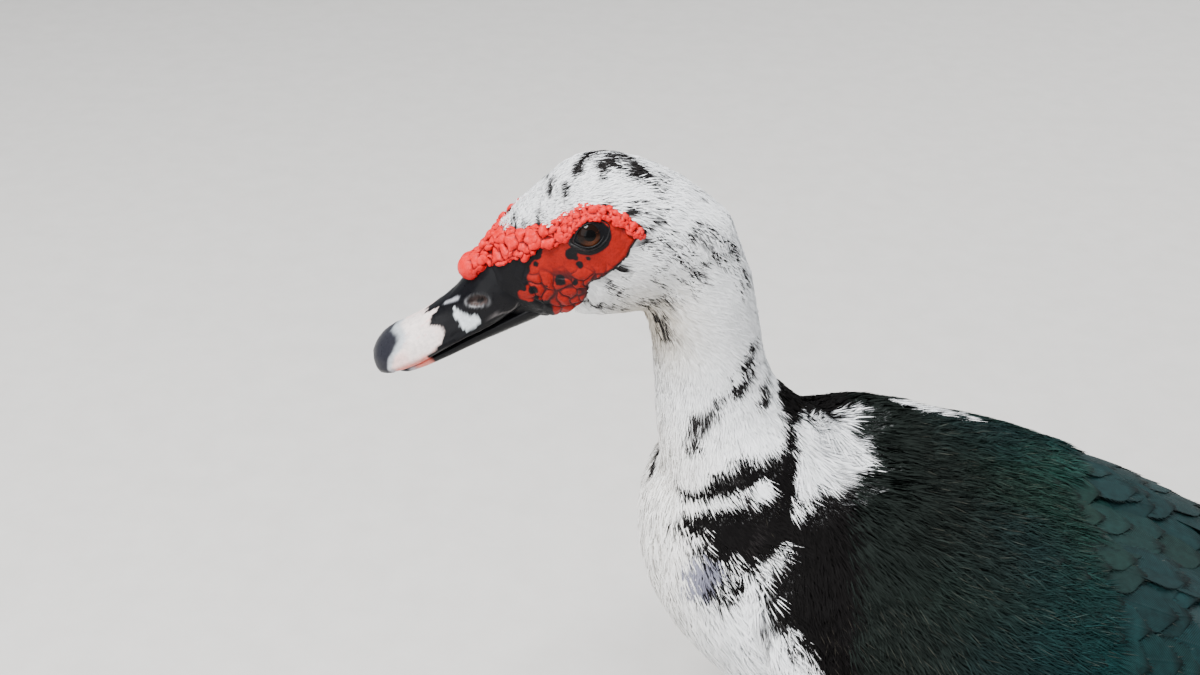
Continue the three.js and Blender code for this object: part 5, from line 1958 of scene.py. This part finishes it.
class DRAKE_OT_flight(bpy.types.Operator):
    """Lays the long feathers of the folded wings and the tail"""

    bl_idname = "drake.flight"
    bl_label = "Wing and tail feathers"

    def execute(self, context):
        finish = plume_material("flight_plumage", 90.0, 0.45, Specular_IOR_Level=0.12)
        for side, word in SIDES:
            self.wing(side, word, finish)
        self.tail(finish)
        return {"FINISHED"}

    def outer_bed(self, nodes, outward, least):
        """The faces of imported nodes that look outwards, for long feathers to lie on."""
        bm = copies_joined(nodes)
        bm.normal_update()
        hidden = [face for face in bm.faces if face.normal.dot(Vector(outward)) < least]
        bmesh.ops.delete(bm, geom=hidden, context="FACES")
        guide = bpy.data.meshes.new("guide")
        bm.to_mesh(guide)
        bm.free()
        return Bed(guide)

    def wing(self, side, word, finish):
        bed = self.outer_bed(("wing_" + word, "primaries_" + word), (0, 0.94 * side, 0.34), 0.25)
        rng = dice(60 + side)
        long = [vane(rng, 0.16, tip=0.22, fray=0.003, camber=0.25) for _ in range(3)]
        roots, ways, lengths, depths = [], [], [], []
        rows = (
            # count, root from and to [x, height], tip from and to [x, height]
            (9, (285, 168), (262, 112), (470, 128), (380, 108)),
            (8, (330, 150), (320, 108), (505, 118), (448, 106)),
            (7, (372, 138), (368, 112), (510, 122), (490, 112)),
        )
        for layer, (count, root_a, root_b, tip_a, tip_b) in enumerate(rows):
            for k in range(count):
                t = k / (count - 1)
                root = np.array(root_a) * (1 - t) + np.array(root_b) * t
                tip = np.array(tip_a) * (1 - t) + np.array(tip_b) * t
                start = unbird((root[0], side * 150, root[1]))
                hit = bed.tree.ray_cast(Vector(start), Vector((0, -side, 0)))
                if hit[0] is None:
                    continue
                roots.append(np.array(hit[0]))
                way = np.array((tip[0] - root[0], 0, tip[1] - root[1]), float)
                lengths.append(np.linalg.norm(way) * MM)
                ways.append(unit(way))
                depths.append((1.0 - 0.1 * layer + 0.05 * k) * MM)
        thing = lay(
            "flight_" + word, bed, np.array(roots), np.array(ways), np.array(lengths), np.array(depths), long,
            rng, finish, self.flight_paint, steps=6, under=1.6, soft=0.3,
        )
        finish_piece(thing, "plumage_dark", "wing_" + word, "primaries_" + word)

    def flight_paint(self, points):
        sheen, tint = wing_sheen(bird(points) + (60, 0, 0))
        return blend(np.tile(colour("black"), (len(points), 1)), tint, 0.8 * sheen), 0.3 + 0.6 * sheen

    def tail(self, finish):
        bed = self.outer_bed(("tail",), (0, 0, 1), 0.6)
        rng = dice(70)
        count = 20
        spread = np.linspace(-1, 1, count)
        order = np.argsort(-np.abs(spread))
        template = [vane(rng, 0.155, tip=0.16, fray=0.003, camber=0.2) for _ in range(3)]
        roots, ways, lengths, lifts = [], [], [], []
        for place in spread[order]:
            turn = place * math.radians(13)
            start = unbird((398 + 6 * abs(place), 20 * place, 140))
            hit = bed.tree.ray_cast(Vector(start), Vector((0, 0, -1)))
            roots.append(np.array(hit[0]))
            ways.append(unit(np.array((math.cos(turn), math.sin(turn), -0.07))))
            lengths.append((188 - 24 * abs(place) ** 2.2) * MM)
            lifts.append((1.6 - 3.4 * abs(place)) * MM)
        roots = np.array(roots) + np.array([(0, 0, lift) for lift in lifts])
        thing = lay(
            "tail_feathers", bed, roots, np.array(ways), np.array(lengths), 1.2 * MM, template, rng, finish,
            self.flight_paint, steps=6, under=0.5, soft=0.3,
        )
        finish_piece(thing, "plumage_dark", "tail")


OPERATORS = (
    DRAKE_OT_stage,
    DRAKE_OT_skin,
    DRAKE_OT_bill,
    DRAKE_OT_caruncles,
    DRAKE_OT_eyes,
    DRAKE_OT_legs,
    DRAKE_OT_coat,
    DRAKE_OT_back,
    DRAKE_OT_flight,
)


class DRAKE_PT_panel(bpy.types.Panel):
    """Lists the steps that build the drake"""

    bl_idname = "DRAKE_PT_panel"
    bl_label = "Muscovy drake"
    bl_space_type = "VIEW_3D"
    bl_region_type = "UI"
    bl_category = "Drake"

    def draw(self, context):
        for operator in OPERATORS:
            self.layout.operator(operator.bl_idname)
        for group in (context.scene.drake_sizes, context.scene.drake_colours):
            for name in group.__annotations__:
                self.layout.prop(group, name)


CLASSES = (DrakeColours, DrakeSizes, *OPERATORS, DRAKE_PT_panel)


def register():
    for made in CLASSES:
        bpy.utils.register_class(made)
    bpy.types.Scene.drake_colours = PointerProperty(type=DrakeColours)
    bpy.types.Scene.drake_sizes = PointerProperty(type=DrakeSizes)


def unregister():
    del bpy.types.Scene.drake_colours
    del bpy.types.Scene.drake_sizes
    for made in reversed(CLASSES):
        bpy.utils.unregister_class(made)


def main():
    register()
    for operator in OPERATORS:
        family, name = operator.bl_idname.split(".")
        getattr(getattr(bpy.ops, family), name)()
    bounds = [[list(map(float, corner)) for corner in box] for box in (SOLID_BOX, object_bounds())]


if __name__ == "__main__":
    main()
